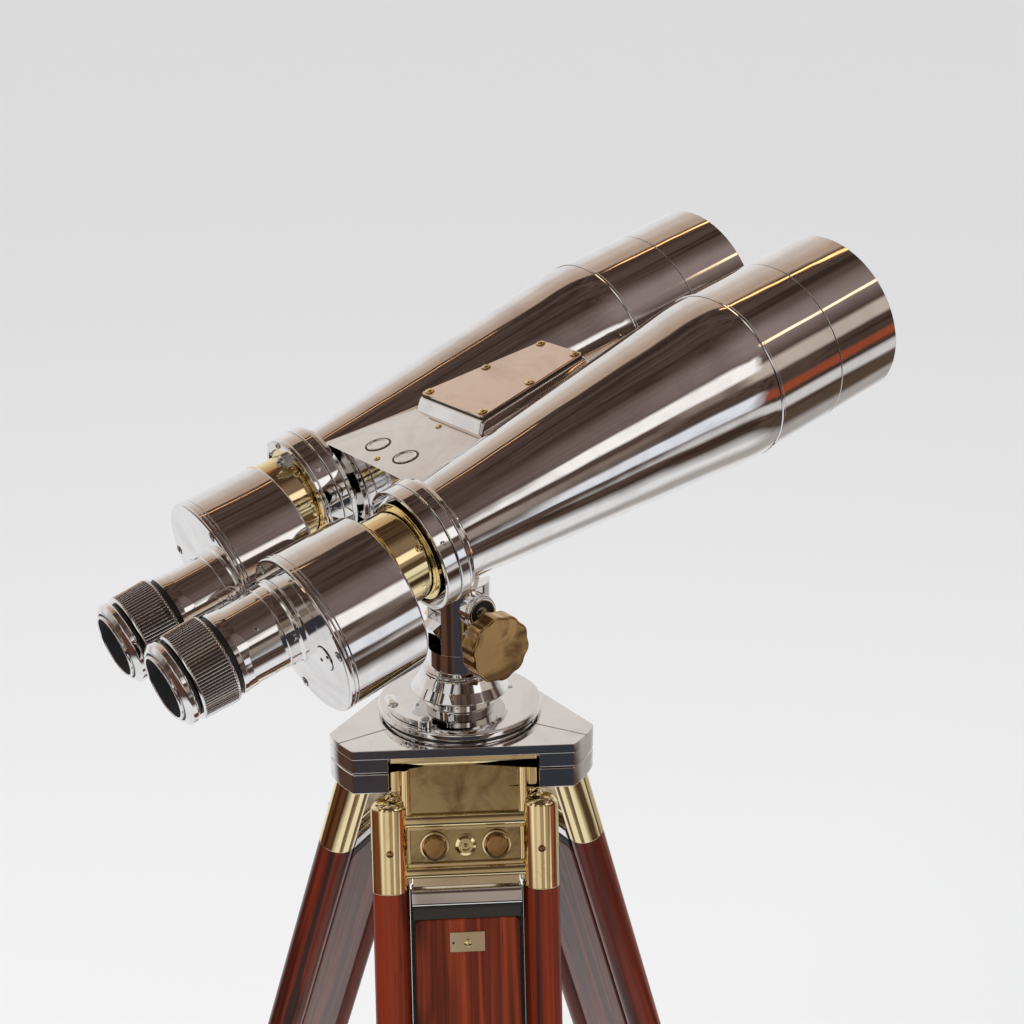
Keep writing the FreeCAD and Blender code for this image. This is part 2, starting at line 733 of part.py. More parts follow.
def make_cover(side):
    y, z = drum_centre(side)
    front = drum_front - drum_length
    rear = front - cover_thickness
    radius = drum_radius + cover_lip
    cover = turned([(front, 0, 0), (front, radius, 0.6), (rear, radius, 1.8), (rear, 0, 0)], y, z)
    eye_y, eye_z = eyepiece_centre(side)
    cover = cover.cut(rod(tube_bore - 3, (rear - 5, eye_y, eye_z), (front + 5, eye_y, eye_z)))
    for y, z in cover_screw_places(side):
        cover = cover.cut(rod(cover_screw_radius / 2, (rear - 5, y, z), (rear + 2, y, z)))
    return placed_binocular(cover)


def cover_screw_places(side):
    """Three screws near the rim; the pattern is mirrored from side to side."""
    y, z = drum_centre(side)
    places = []
    for angle in (5, 125, 245):
        out, up = on_circle(cover_screw_circle, angle)
        places.append((y + side * out, z + up))
    return places


def rearward_screw(radius, height, x, y, z):
    screw = rotated(dome_screw(radius, height), -90, V(0, 1, 0))
    return moved(screw, x, y, z)


def make_cover_screws(side):
    """Three cover screws and the round cap over the prism adjuster with its own two screws."""
    face = drum_front - drum_length - cover_thickness
    pieces = []
    for y, z in cover_screw_places(side):
        pieces.append(rearward_screw(cover_screw_radius, 1.0, face, y, z))
    y, z = drum_centre(side)
    cap_y = y + side * adjuster_out
    cap_z = z - adjuster_down
    pieces.append(rod(adjuster_radius, (face, cap_y, cap_z), (face - 0.8, cap_y, cap_z)))
    for step in (-1, 1):
        screw_y = cap_y + step * 5.2
        screw_z = cap_z - step * 3.0
        pieces.append(rod(1.2, (face - 0.8, screw_y, screw_z), (face - 1.4, screw_y, screw_z)))
    return placed_binocular(Part.makeCompound(pieces))


def wedge_prism(start, finish, width, base_x, depth):
    """A right-angle prism whose long face runs from start to finish, in (y, z), at x = base_x."""
    middle = ((start[0] + finish[0]) / 2, (start[1] + finish[1]) / 2)
    points = [V(base_x, *start), V(base_x, *finish), V(base_x + depth, *middle), V(base_x, *start)]
    along = V(0, finish[0] - start[0], finish[1] - start[1]).normalize()
    across = along.cross(V(1, 0, 0)).normalize()
    face = Part.Face(Part.makePolygon(points))
    face.translate(across * (-width / 2))
    return face.extrude(across * width)


def make_prisms(side):
    """Two right-angle prisms that fold the light from the barrel's axis to the eyepiece's."""
    barrel_y = side * barrel_half_spacing
    eye_y, eye_z = eyepiece_centre(side)
    margin = 9.0
    front_x = drum_front - drum_wall - 5
    span = abs(barrel_y - eye_y) + 2 * margin
    first = wedge_prism((barrel_y + side * margin, axis_rise), (eye_y - side * margin, axis_rise), 2 * margin,
                        front_x, -span / 2)
    rear_x = drum_front - drum_length + 2
    height = abs(axis_rise - eye_z) + 2 * margin
    second = wedge_prism((eye_y, axis_rise + margin), (eye_y, eye_z - margin), 2 * margin, rear_x, height / 2)
    return placed_binocular(Part.makeCompound([first, second.cut(first)]))


tube_start = drum_front - drum_length - cover_thickness
band_start = tube_start - tube_length
sleeve_start = band_start - band_length
ring_start = sleeve_start - ring_gap
ring_end = ring_start - ring_length
cup_start = ring_end - cup_gap
cup_end = cup_start - cup_length
lip_end = cup_end + eye_lens_inset


def make_eyepiece_tube(side):
    y, z = eyepiece_centre(side)
    tube_end = sleeve_start - sleeve_length
    return placed_binocular(turned([
        (tube_start, tube_bore - 3, 0), (tube_start, tube_flange_radius, 0),
        (tube_start - tube_flange, tube_flange_radius, 0.8), (tube_start - tube_flange, tube_radius, 0.6),
        (band_start, tube_radius - 0.5, 0), (band_start, band_radius, 0.4), (sleeve_start, band_radius, 0.4),
        (sleeve_start, sleeve_radius, 0), (tube_end, sleeve_radius, 0.5), (tube_end, tube_bore, 0),
        (tube_start - 5, tube_bore, 0), (tube_start - 5, tube_bore - 3, 0)], y, z))


def make_focus_ring(side):
    y, z = eyepiece_centre(side)
    ring = turned([
        (ring_start, sleeve_radius + gap, 0), (ring_start, ring_front_radius, 0.8),
        (ring_end, ring_rear_radius, 0.8), (ring_end, tube_bore, 0), (ring_end + ring_web, tube_bore, 0),
        (ring_end + ring_web, sleeve_radius + gap, 0)], y, z)
    return placed_binocular(ring)


def make_eyecup(side):
    y, z = eyepiece_centre(side)
    slider = tube_bore - running
    slider_front = sleeve_start - ring_gap - 2
    groove_radius = cup_radius - cup_groove
    bore = eye_lens_radius + seat
    return placed_binocular(turned([
        (slider_front, bore, 0), (slider_front, slider, 0.4), (ring_end - gap, slider, 0),
        (ring_end - gap, groove_radius, 0), (cup_start, groove_radius, 0), (cup_start, cup_radius, 0.6),
        (cup_start - 3.5, cup_radius, 1.6), (cup_end, eye_opening + 2.2, 1.0), (cup_end, eye_opening, 0.5),
        (lip_end - 1.5, bore - 1.2, 0), (lip_end, bore - 1.2, 0), (lip_end, bore, 0)], y, z))


def make_eye_lens(side):
    y, z = eyepiece_centre(side)
    lens_x = lip_end + eye_lens_gap
    return placed_binocular(lens(lens_x, eye_lens_radius, eye_lens_thickness, eye_lens_bulge, 0, y, z))


def make_swivel_clamp():
    """Strap on the left flange's rear face with the knurled nut that locks the eyepieces' spacing."""
    rear = barrel_rear - flange_length
    inner = collar_lip_radius + 0.7
    outer = flange_radius - 0.4
    strap = rod(outer, (rear - strap_thickness, 0, 0), (rear, 0, 0))
    strap = strap.cut(rod(inner, (rear - 10, 0, 0), (rear + 10, 0, 0)))
    sector = Part.makeCylinder(outer * 2, 400, V(0, 0, -200), V(0, 0, 1), strap_sweep)
    sector = rotated(rotated(sector, -90, V(0, 1, 0)), strap_sweep * 0.75, V(1, 0, 0))
    strap = strap.common(sector)
    stud_height = (inner + outer) / 2
    back = rear - strap_thickness
    stud = rod(2.4, (back - 3, 0, stud_height), (back, 0, stud_height))
    thumb = rod(thumb_radius, (back - 2 - thumb_length, 0, stud_height), (back - 2, 0, stud_height))
    screw = rotated(rearward_screw(2.4, 1.6, back, 0, stud_height), -30, V(1, 0, 0))
    clamp = strap.fuse([stud, thumb, screw]).removeSplitter()
    clamp = rotated(clamp, thumb_angle, V(1, 0, 0))
    return placed_binocular(moved(clamp, 0, barrel_half_spacing, axis_rise))


# ---- legs, drawn straight down from the hinge and then leaned out and turned to their place ----
hinge_height = disc_height - hinge_drop
floor_reach = hinge_height / math.cos(math.radians(leg_splay))
board_bottom = floor_reach - shoe_foot
shoe_top = board_bottom - shoe_grip
clamp_bottom = board_bottom - clamp_lift
clamp_top = clamp_bottom - clamp_height


def placed_leg(shape, name):
    copy = rotated(shape, -leg_splay, V(1, 0, 0))
    copy = moved(copy, 0, -hinge_radius, -hinge_drop)
    return rotated(copy, leg_angles[name] - 270)


def make_bracket(name):
    """Brass hinge casting with a panel, ribs, bolt bosses and a socket for each pole."""
    half = pocket_half_width - 2 * gap
    body = rod(hinge_barrel_radius, (-half, 0, 0), (half, 0, 0))
    panel_span = (-cap_top + panel_stop, -2)
    panel = box((-panel_half_width, panel_half_width), (-panel_front, panel_back), panel_span)
    body = body.fuse(panel)
    for sign in (-1, 1):
        rail = turned_upright([(0, -rail_bottom, 0), (rail_radius, -rail_bottom, 0),
                               (rail_radius, -rail_top, 3), (0, -rail_top, 0)])
        body = body.fuse(moved(rail, sign * rail_x, -1.5, 0))
        web_span = (sign * rail_x - 5.2, sign * rail_x + 5.2)
        web = box(web_span, (-1.5, panel_front), (-rail_bottom, -rail_radius))
        body = body.fuse(web)
    for top in rib_tops:
        rib = box((-rib_half_width, rib_half_width), (-rib_front, rib_back), (-top - rib_height, -top))
        long_edges = [edge for edge in rib.Edges if edge.Length > rib_half_width]
        body = body.fuse(rib.makeFillet(3.0, long_edges))
    backing_span = (-rib_tops[1] - rib_height + 0.5, -rib_tops[0] - rib_height / 2)
    backing = box((-rib_half_width, rib_half_width), (-panel_front + 1, panel_back + 0.5), backing_span)
    body = body.fuse(backing)
    bosses = ((-bolt_spacing, bolt_boss_radius, bolt_boss_height),
              (bolt_spacing, bolt_boss_radius, bolt_boss_height),
              (0, middle_bolt_radius, bolt_boss_height - 0.4))
    for x, radius, reach in bosses:
        body = body.fuse(rod(radius, (x, 0, -bolt_drop), (x, -reach, -bolt_drop)))
    for sign in (-1, 1):
        socket = turned_upright([(0, -ferrule_bottom, 0), (ferrule_radius, -ferrule_bottom, 0.8),
                                 (ferrule_radius, -ferrule_top, 9), (0, -ferrule_top, 0)])
        body = body.fuse(moved(socket, sign * pole_spacing, 0, 0))
    socket_end = -ferrule_bottom + spigot_depth + spigot_room
    for sign in (-1, 1):
        x = sign * pole_spacing
        body = body.cut(rod(pole_spigot_radius, (x, 0, -ferrule_bottom - 5), (x, 0, socket_end)))
    pin_bore = rod(hinge_pin_radius + running, (-pocket_half_width, 0, 0), (pocket_half_width, 0, 0))
    return placed_leg(body.cut(pin_bore).removeSplitter(), name)


def make_poles(name):
    poles = []
    for sign in (-1, 1):
        spigot_top = -ferrule_bottom + spigot_depth
        pole_end = -clamp_bottom + clamp_floor
        pole = turned_upright([(0, pole_end, 0), (pole_radius, pole_end, 0),
                               (pole_radius, -ferrule_bottom, 0), (pole_spigot_radius, -ferrule_bottom, 0),
                               (pole_spigot_radius, spigot_top, 1), (0, spigot_top, 0)])
        poles.append(moved(pole, sign * pole_spacing, 0, 0))
    return placed_leg(Part.makeCompound(poles), name)


def make_clamp(name):
    """Brass bridge at the foot of the poles, with the slot that the board slides through."""
    body = box((-pole_spacing, pole_spacing), (-clamp_radius, clamp_radius), (-clamp_bottom, -clamp_top))
    for sign in (-1, 1):
        x = sign * pole_spacing
        body = body.fuse(Part.makeCylinder(clamp_radius, clamp_height, V(x, 0, -clamp_bottom)))
        body = body.cut(Part.makeCylinder(pole_radius, clamp_height, V(x, 0, -clamp_bottom + clamp_floor)))
    body = body.removeSplitter()
    slot_x = board_half_width + gap
    slot_y = board_thickness / 2 + gap
    body = body.cut(box((-slot_x, slot_x), (-slot_y, slot_y), (-clamp_bottom - 1, -clamp_top + 1)))
    middle = -(clamp_top + clamp_bottom) / 2
    boss_face = -clamp_radius - clamp_boss_height
    body = body.fuse(rod(clamp_boss, (0, -slot_y - 2, middle), (0, boss_face, middle)))
    body = body.cut(rod(leg_screw_radius + running, (0, 0, middle), (0, -40, middle)))
    return placed_leg(body, name)


def make_leg_knob(name):
    middle = -(clamp_top + clamp_bottom) / 2
    face = -clamp_radius - clamp_boss_height - gap
    knob = moved(scalloped(leg_knob_radius, leg_knob_length, 8, 9.0, 1.5), 0, face - leg_knob_neck, middle)
    knob = knob.fuse(rod(leg_neck_radius, (0, face, middle), (0, face - leg_knob_neck - 1, middle)))
    tip = -board_thickness / 2 - 2 * gap
    knob = knob.fuse(rod(leg_screw_radius, (0, face - 1, middle), (0, tip, middle)))
    return placed_leg(knob.removeSplitter(), name)


def make_board(name):
    half = board_half_width
    outline = [(-half, -board_bottom, 0), (half, -board_bottom, 0),
               (half, -board_top, 4), (-half, -board_top, 4)]
    face = profile_face(outline, lambda p: V(p.x, -board_thickness / 2, p.y))
    return placed_leg(face.extrude(V(0, board_thickness, 0)), name)


def make_board_cap(name):
    """Steel guide bar on the board's top end, running between the poles."""
    half = cap_half_width
    depth = board_thickness / 2 + 1
    bar = box((-half, half), (-depth, depth), (-cap_top - 13, -cap_top))
    bar = bar.makeFillet(1.2, [edge for edge in bar.Edges if edge.Length > half])
    strip = box((-half, half), (-depth + 0.6, depth - 0.6), (-board_top, -cap_top - 13))
    groove = box((-half - 1, half + 1), (-depth - 1, -depth + 1.8), (-cap_top - 14.6, -cap_top - 13.4))
    return placed_leg(bar.fuse(strip).cut(groove).removeSplitter(), name)


def make_shoe(name):
    """Brass shoe over the board's end; its sole is cut level with the floor."""
    outer_x = board_half_width + shoe_wall
    outer_y = board_thickness / 2 + shoe_wall
    shoe = box((-outer_x, outer_x), (-outer_y, outer_y), (-board_bottom - 12, -shoe_top))
    shoe = shoe.makeFillet(2.0, [edge for edge in shoe.Edges if edge.Length > 2 * outer_x - 1])
    shoe = shoe.cut(box((-board_half_width, board_half_width), (-board_thickness / 2, board_thickness / 2),
                        (-board_bottom, -shoe_top + 1)))
    foot_x = outer_x - 8
    foot_y = outer_y + 2
    foot = box((-foot_x, foot_x), (-foot_y, foot_y), (-floor_reach - 30, -board_bottom - 8))
    shoe = placed_leg(shoe.fuse(foot).removeSplitter(), name)
    below = box((-2000, 2000), (-2000, 2000), (-disc_height - 400, -disc_height))
    return shoe.cut(below)


# ---- the whole part ----
def build_nodes():
    nodes = {
        "head_upper_plate": make_upper_plate(),
        "head_lower_plate": make_lower_plate(),
        "leg_hinge_pins": make_hinge_pins(),
        "azimuth_disc": make_azimuth_disc(),
        "azimuth_lever": make_azimuth_lever(),
        "column": make_column(),
        "tilt_pin": make_tilt_pin(),
        "tilt_knob": make_tilt_knob(),
        "saddle": make_saddle(),
        "binocular_body": make_body(),
        "nameplate": make_nameplate(),
        "bridge_screws": make_bridge_screws(),
        "swivel_clamp": make_swivel_clamp(),
    }
    makers = {"objective_cell": make_cell, "hood": make_hood, "objective_lens": make_objective,
              "rear_flange": make_flange, "swivel_collar": make_collar, "prism_drum": make_drum,
              "prism_cover": make_cover, "cover_screws": make_cover_screws, "prisms": make_prisms,
              "eyepiece_tube": make_eyepiece_tube, "focus_ring": make_focus_ring, "eyecup": make_eyecup,
              "eye_lens": make_eye_lens}
    for side_name, side in (("left", 1), ("right", -1)):
        for piece, maker in makers.items():
            nodes[side_name + "_" + piece] = maker(side)
    leg_makers = {"leg_bracket": make_bracket, "leg_poles": make_poles, "leg_clamp": make_clamp,
                  "leg_knob": make_leg_knob, "leg_board": make_board, "leg_board_cap": make_board_cap,
                  "leg_shoe": make_shoe}
    for name in leg_angles:
        for piece, maker in leg_makers.items():
            nodes[name + "_" + piece] = maker(name)
    return nodes


def origin_shift(nodes):
    """Move that puts the origin under the middle of the part's box, at floor level."""
    whole = FreeCAD.BoundBox()
    for shape in nodes.values():
        whole.add(shape.optimalBoundingBox(False, False))
    return V(-whole.Center.x, -whole.Center.y, disc_height)


nodes = build_nodes()
shift = origin_shift(nodes)
os.makedirs("parts", exist_ok=True)
for node_name, shape in nodes.items():
    shape.translate(shift)
    shape.exportStep(os.path.join("parts", node_name + ".step"))
print(len(nodes), "nodes, origin moved by", shift)
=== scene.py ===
import bpy
import bmesh
import json
import math
from mathutils import Matrix, Vector


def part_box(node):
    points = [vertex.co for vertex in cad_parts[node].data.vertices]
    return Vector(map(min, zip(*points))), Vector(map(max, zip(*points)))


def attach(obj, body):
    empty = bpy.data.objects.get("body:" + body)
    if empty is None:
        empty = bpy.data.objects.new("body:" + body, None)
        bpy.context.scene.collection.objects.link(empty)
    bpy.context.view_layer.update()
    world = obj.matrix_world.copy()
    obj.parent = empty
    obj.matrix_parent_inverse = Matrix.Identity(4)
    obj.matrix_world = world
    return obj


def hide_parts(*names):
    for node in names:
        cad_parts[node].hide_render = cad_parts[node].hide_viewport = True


# Polished twin-barrel observation binocular on a folding wooden tripod.
# Shapes are drawn in millimetres in four working frames (binocular, column, head and leg),
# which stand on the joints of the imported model.

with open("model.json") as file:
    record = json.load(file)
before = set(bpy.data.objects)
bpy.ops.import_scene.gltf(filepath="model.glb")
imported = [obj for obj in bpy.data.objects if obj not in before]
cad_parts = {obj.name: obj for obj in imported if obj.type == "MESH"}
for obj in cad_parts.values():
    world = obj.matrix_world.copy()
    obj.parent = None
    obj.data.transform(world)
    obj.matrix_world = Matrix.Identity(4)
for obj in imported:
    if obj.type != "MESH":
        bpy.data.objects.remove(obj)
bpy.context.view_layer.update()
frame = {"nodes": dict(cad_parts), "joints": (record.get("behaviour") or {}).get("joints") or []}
joints = {joint["name"]: joint for joint in frame["joints"]}
MM = 0.001
SAME_PLACE = 2e-6
SIDES = (("left", 1), ("right", -1))
LEGS = ("front", "left", "right")


# ---- working frames ----
def frame_from(origin, forward, upward):
    x = Vector(forward).normalized()
    y = Vector(upward).cross(x).normalized()
    z = x.cross(y)
    turn = Matrix((x, y, z)).transposed().to_4x4()
    return Matrix.Translation(Vector(origin)) @ turn


elevation = joints["elevation"]
heading = Vector((0, 0, 1)).cross(Vector(elevation["axis"]))
binocular_frame = frame_from(elevation["pos_m"], joints["right_swivel"]["axis"], (0, 0, 1))
DISC_THICKNESS = 8.0
disc_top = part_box("azimuth_disc")[0].z + DISC_THICKNESS * MM
pan = joints["azimuth"]["pos_m"]
head_frame = frame_from((pan[0], pan[1], disc_top), (1, 0, 0), (0, 0, 1))
column_frame = frame_from((pan[0], pan[1], disc_top), heading, (0, 0, 1))
leg_frames = {}
for leg in LEGS:
    hinge = joints[leg + "_leg_hinge"]
    downward = Vector(joints[leg + "_leg_slide"]["axis"])
    leg_frames[leg] = frame_from(hinge["pos_m"], hinge["axis"], -downward)

# ---- binocular sizes, x forward from the tilt axis, y to the left, z up ----
AXIS_RISE = 100.1
HALF_SPACING = 73.1
BARREL_REAR = -38.0
BARREL_FRONT = 213.7
REAR_RADIUS = 35.5
FRONT_RADIUS = 62.8
SHOULDER = 46.0
CELL_LENGTH = 60.6
HOOD_LENGTH = 57.0
HOOD_RADIUS = 63.0
BRIDGE_TOP = 32.7
BRIDGE_FRONT = 144.0
BRIDGE_FILLET = 5.0
BOSS_REAR = 32.0
BOSS_FRONT = 140.0
BOSS_REAR_HALF = 42.0
BOSS_FRONT_HALF = 27.0
BOSS_HEIGHT = 9.3
PLATE_MARGIN = 3.5
PLATE_THICKNESS = 1.6
FLANGE_RADIUS = 42.5
FLANGE_LENGTH = 24.0
RECESS_RADIUS = 39.5
RECESS_DEPTH = 10.0
COLLAR_RADIUS = 31.0
COLLAR_LIP = 34.5
DRUM_INWARD = 8.6
DRUM_DOWN = 21.1
DRUM_RADIUS = 54.5
DRUM_FRONT = -86.4
DRUM_LENGTH = 54.0
COVER_THICKNESS = 6.1
EYE_INWARD = 34.7
EYE_DOWN = 20.4
TUBE_RADIUS = 27.5
TUBE_FLANGE = 30.3
TUBE_LENGTH = 34.1
BAND_RADIUS = 28.4
BAND_LENGTH = 11.1
RING_GAP = 4.0
RING_LENGTH = 25.8
RING_FRONT = 30.3
RING_REAR = 29.2
CUP_GAP = 3.0
CUP_RADIUS = 28.9
CUP_LENGTH = 9.4
EYE_OPENING = 20.6
COVER_FACE = DRUM_FRONT - DRUM_LENGTH - COVER_THICKNESS
BAND_START = COVER_FACE - TUBE_LENGTH
SLEEVE_START = BAND_START - BAND_LENGTH
RING_START = SLEEVE_START - RING_GAP
RING_END = RING_START - RING_LENGTH
CUP_START = RING_END - CUP_GAP
CUP_END = CUP_START - CUP_LENGTH

# ---- column and head sizes, z up from the top of the azimuth disc ----
PIVOT_HEIGHT = 78.0
CLAMP_DROP = 20.0
PAD_REACH = 28.0
COLUMN_RADIUS = 23.0
DISC_RADIUS = 60.7
HEAD_RADIUS = 102.0
HEAD_FLAT = 65.0
HEAD_CORNER = 9.0
POCKET_HALF = 53.5
POCKET_DEPTH = 22.0
UPPER_TOP = -8.0
POCKET_ROOF = -15.0
UPPER_BOTTOM = -26.0
LOWER_BOTTOM = -42.0
LEVER_CIRCLE = 52.0
LEVER_PIVOT = 239.0
LEVER_THUMB = 193.0

# ---- leg sizes, z up along the leg from its hinge, outwards is -y ----
PIN_RADIUS = 6.5
POLE_SPACING = 54.0
POLE_RADIUS = 13.2
FERRULE_RADIUS = 13.5
FERRULE_TOP = -29.3
FERRULE_BOTTOM = -95.3
PANEL_HALF = 37.2
RAIL_X = 42.3
BOLT_SPACING = 22.2
BOLT_LEVEL = -63.0
BOARD_HALF = 37.8
BOARD_THICK = 18.0
BOARD_TOP = -114.7
CAP_TOP = -93.0
CLAMP_TOP = -900.0
CLAMP_BOTTOM = -946.0
CLAMP_RADIUS = 15.5
KNOB_RADIUS = 15.0
SHOE_TOP = -1000.0


# ---- mesh building ----
def object_from(name, mesh, home, materials):
    piece = bpy.data.objects.new(name, mesh)
    bpy.context.scene.collection.objects.link(piece)
    piece.matrix_world = home
    for material in materials:
        mesh.materials.append(material)
    return piece


def settle(piece, body, stands_for=()):
    """Fixes a finished piece to its moving body and hides the imported solids it stands for."""
    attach(piece, body)
    if stands_for:
        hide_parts(*stands_for)
    return piece


def rounded_profile(points, steps=5):
    """Spans of a closed outline with rounded corners: (start, start normal, end, end normal).

    Each point is (p, q, corner radius). The spans run so that the outside is on their left.
    """
    area = 0.0
    for index in range(len(points)):
        here, following = points[index], points[(index + 1) % len(points)]
        area += here[0] * following[1] - following[0] * here[1]
    if area > 0:
        points = points[::-1]
    ends = []
    spans_at_corner = []
    for index in range(len(points)):
        here = Vector(points[index][:2])
        before = Vector(points[index - 1][:2])
        after = Vector(points[(index + 1) % len(points)][:2])
        radius = points[index][2]
        if radius <= 0:
            ends.append((here, here))
            spans_at_corner.append([])
            continue
        back = (before - here).normalized()
        ahead = (after - here).normalized()
        half = back.angle(ahead) / 2
        reach = min(radius / math.tan(half), (before - here).length * 0.49, (after - here).length * 0.49)
        radius = reach * math.tan(half)
        centre = here + (back + ahead).normalized() * radius / math.sin(half)
        start = here + back * reach
        finish = here + ahead * reach
        from_centre = start - centre
        sweep = from_centre.angle_signed(finish - centre)
        convex = back.cross(ahead) > 0
        arc = []
        for step in range(steps + 1):
            turned = from_centre.copy()
            turned.rotate(Matrix.Rotation(-sweep * step / steps, 2))
            normal = turned.normalized() * (1 if convex else -1)
            arc.append((centre + turned, normal))
        ends.append((start, finish))
        spans_at_corner.append([(arc[i][0], arc[i][1], arc[i + 1][0], arc[i + 1][1]) for i in range(steps)])
    spans = []
    for index in range(len(points)):
        spans.extend(spans_at_corner[index])
        start = ends[index][1]
        finish = ends[(index + 1) % len(points)][0]
        if (finish - start).length > 1e-5:
            along = (finish - start).normalized()
            normal = Vector((-along.y, along.x))
            spans.append((start, normal, finish, normal))
    return spans


def mesh_with_normals(name, corners, faces, normals):
    """A mesh whose faces all wind the way that their given normals point."""
    start = 0
    for index, face in enumerate(faces):
        count = len(face)
        own = normals[start:start + count]
        a, b, c = corners[face[0]], corners[face[1]], corners[face[-1]]
        facing = (b - a).cross(c - a)
        if facing.length < 1e-14:
            facing = (corners[face[2]] - b).cross(corners[face[2]] - c)
        if facing.dot(sum(own, Vector())) < 0:
            faces[index] = face[::-1]
            normals[start:start + count] = own[::-1]
        start += count
    mesh = bpy.data.meshes.new(name)
    mesh.from_pydata(corners, [], faces)
    mesh.polygons.foreach_set("use_smooth", [True] * len(faces))
    mesh.update()
    mesh.normals_split_custom_set(normals)
    return mesh


def lathe(name, points, home, materials, y=0.0, z=0.0, upright=False, segments=128, steps=5):
    """A turned piece.

    Points are (along, radius, fillet) about the x axis, or (radius, height, fillet) upright.
    """
    if upright:
        points = [(height, radius, fillet) for radius, height, fillet in points]
    spans = rounded_profile(points, steps)
    corners, faces, normals = [], [], []

    def place(along, radius, turn):
        if upright:
            return Vector((radius * math.cos(turn), radius * math.sin(turn), along))
        return Vector((along, -radius * math.sin(turn), radius * math.cos(turn)))

    offset = Vector((0, y, z)) if not upright else Vector((y, z, 0))
    turns = [2 * math.pi * index / segments for index in range(segments)]
    for start, start_normal, finish, finish_normal in spans:
        if start.y < 1e-6 and finish.y < 1e-6:
            continue
        base = len(corners)
        for turn in turns:
            corners.append((place(start.x, start.y, turn) + offset) * MM)
            corners.append((place(finish.x, finish.y, turn) + offset) * MM)
        for index in range(segments):
            following = (index + 1) % segments
            a, b = base + 2 * index, base + 2 * index + 1
            c, d = base + 2 * following + 1, base + 2 * following
            here, there = turns[index], turns[following]
            ring = [(a, start_normal, here), (b, finish_normal, here), (c, finish_normal, there),
                    (d, start_normal, there)]
            if start.y < 1e-6:
                ring = ring[:3]
            elif finish.y < 1e-6:
                ring = [ring[0], ring[1], ring[3]]
            faces.append([corner for corner, _, _ in ring])
            normals.extend(place(normal.x, normal.y, turn) for _, normal, turn in ring)
    mesh = mesh_with_normals(name, corners, faces, normals)
    mesh = weld(mesh)
    return object_from(name, mesh, home, materials)


def store_normals(bm, start, mesh):
    """Notes a mesh's corner normals on the faces, from number start on, that came from it."""
    normals = iter([tuple(loop.vector) for loop in mesh.corner_normals])
    layers = bm.loops.layers.float_vector
    layer = layers.get("kept") or layers.new("kept")
    bm.faces.ensure_lookup_table()
    for face in bm.faces[start:]:
        for loop in face.loops:
            loop[layer] = next(normals)


def use_stored_normals(mesh):
    normals = [tuple(item.vector) for item in mesh.attributes["kept"].data]
    mesh.attributes.remove(mesh.attributes["kept"])
    mesh.normals_split_custom_set(normals)


def weld(mesh):
    """Joins the corners that neighbouring spans share, and keeps the normals."""
    bm = bmesh.new()
    bm.from_mesh(mesh)
    store_normals(bm, 0, mesh)
    bmesh.ops.remove_doubles(bm, verts=bm.verts, dist=SAME_PLACE)
    bm.to_mesh(mesh)
    bm.free()
    use_stored_normals(mesh)
    return mesh


def outline_path(points, steps=5):
    """Corner points of a closed outline with rounded corners, as a list of (p, q)."""
    return [start for start, _, _, _ in rounded_profile(points, steps)]


def slab(name, points, low, high, home, materials, bevel=0.6, axis="z", steps=6, segments=3, cutters=()):
    """A flat piece: an outline with rounded corners, given thickness from low to high, with eased edges."""
    path = outline_path(points, steps)
    bm = bmesh.new()

    def put(point, level):
        if axis == "z":
            return Vector((point.x, point.y, level)) * MM
        if axis == "y":
            return Vector((point.x, level, point.y)) * MM
        return Vector((level, point.x, point.y)) * MM

    bottom = [bm.verts.new(put(point, low)) for point in path]
    top = [bm.verts.new(put(point, high)) for point in path]
    bm.faces.new(bottom)
    bm.faces.new(top[::-1])
    for index in range(len(path)):
        following = (index + 1) % len(path)
        bm.faces.new((bottom[index], top[index], top[following], bottom[following]))
    bmesh.ops.recalc_face_normals(bm, faces=bm.faces)
    return finished(name, bm, home, materials, bevel, segments, cutters)


def finished(name, bm, home, materials, bevel, segments=3, cutters=()):
    """Turns a bmesh into a piece with eased edges and clean shading."""
    for face in bm.faces:
        face.smooth = True
    mesh = bpy.data.meshes.new(name)
    bm.to_mesh(mesh)
    bm.free()
    piece = object_from(name, mesh, home, materials)
    for cutter in cutters:
        cut = piece.modifiers.new("cut", "BOOLEAN")
        cut.operation = "DIFFERENCE"
        cut.solver = "EXACT"
        cut.object = cutter
    if bevel > 0:
        ease = piece.modifiers.new("ease", "BEVEL")
        ease.width = bevel * MM
        ease.segments = segments
        ease.limit_method = "ANGLE"
        ease.angle_limit = math.radians(35)
        ease.harden_normals = False
    shade = piece.modifiers.new("shade", "WEIGHTED_NORMAL")
    shade.keep_sharp = True
    shade.weight = 80
    return bake_modifiers(piece, cutters)


def bake_modifiers(piece, cutters=()):
    """Applies the modifiers, so that the piece is one plain mesh, and removes the cutters."""
    depsgraph = bpy.context.evaluated_depsgraph_get()
    mesh = bpy.data.meshes.new_from_object(piece.evaluated_get(depsgraph), preserve_all_data_layers=True,
                                           depsgraph=depsgraph)
    old = piece.data
    piece.modifiers.clear()
    piece.data = mesh
    mesh.name = old.name
    bpy.data.meshes.remove(old)
    for cutter in cutters:
        bpy.data.objects.remove(cutter)
    return piece


def block(x, y, z, radius=0.0):
    """Outline and levels of a box, for slab along z."""
    outline = [(x[0], y[0], radius), (x[1], y[0], radius), (x[1], y[1], radius), (x[0], y[1], radius)]
    return outline, z[0], z[1]


def rotated_outline(points, degrees):
    turn = math.radians(degrees)
    return [(p * math.cos(turn) - q * math.sin(turn), p * math.sin(turn) + q * math.cos(turn), radius)
            for p, q, radius in points]


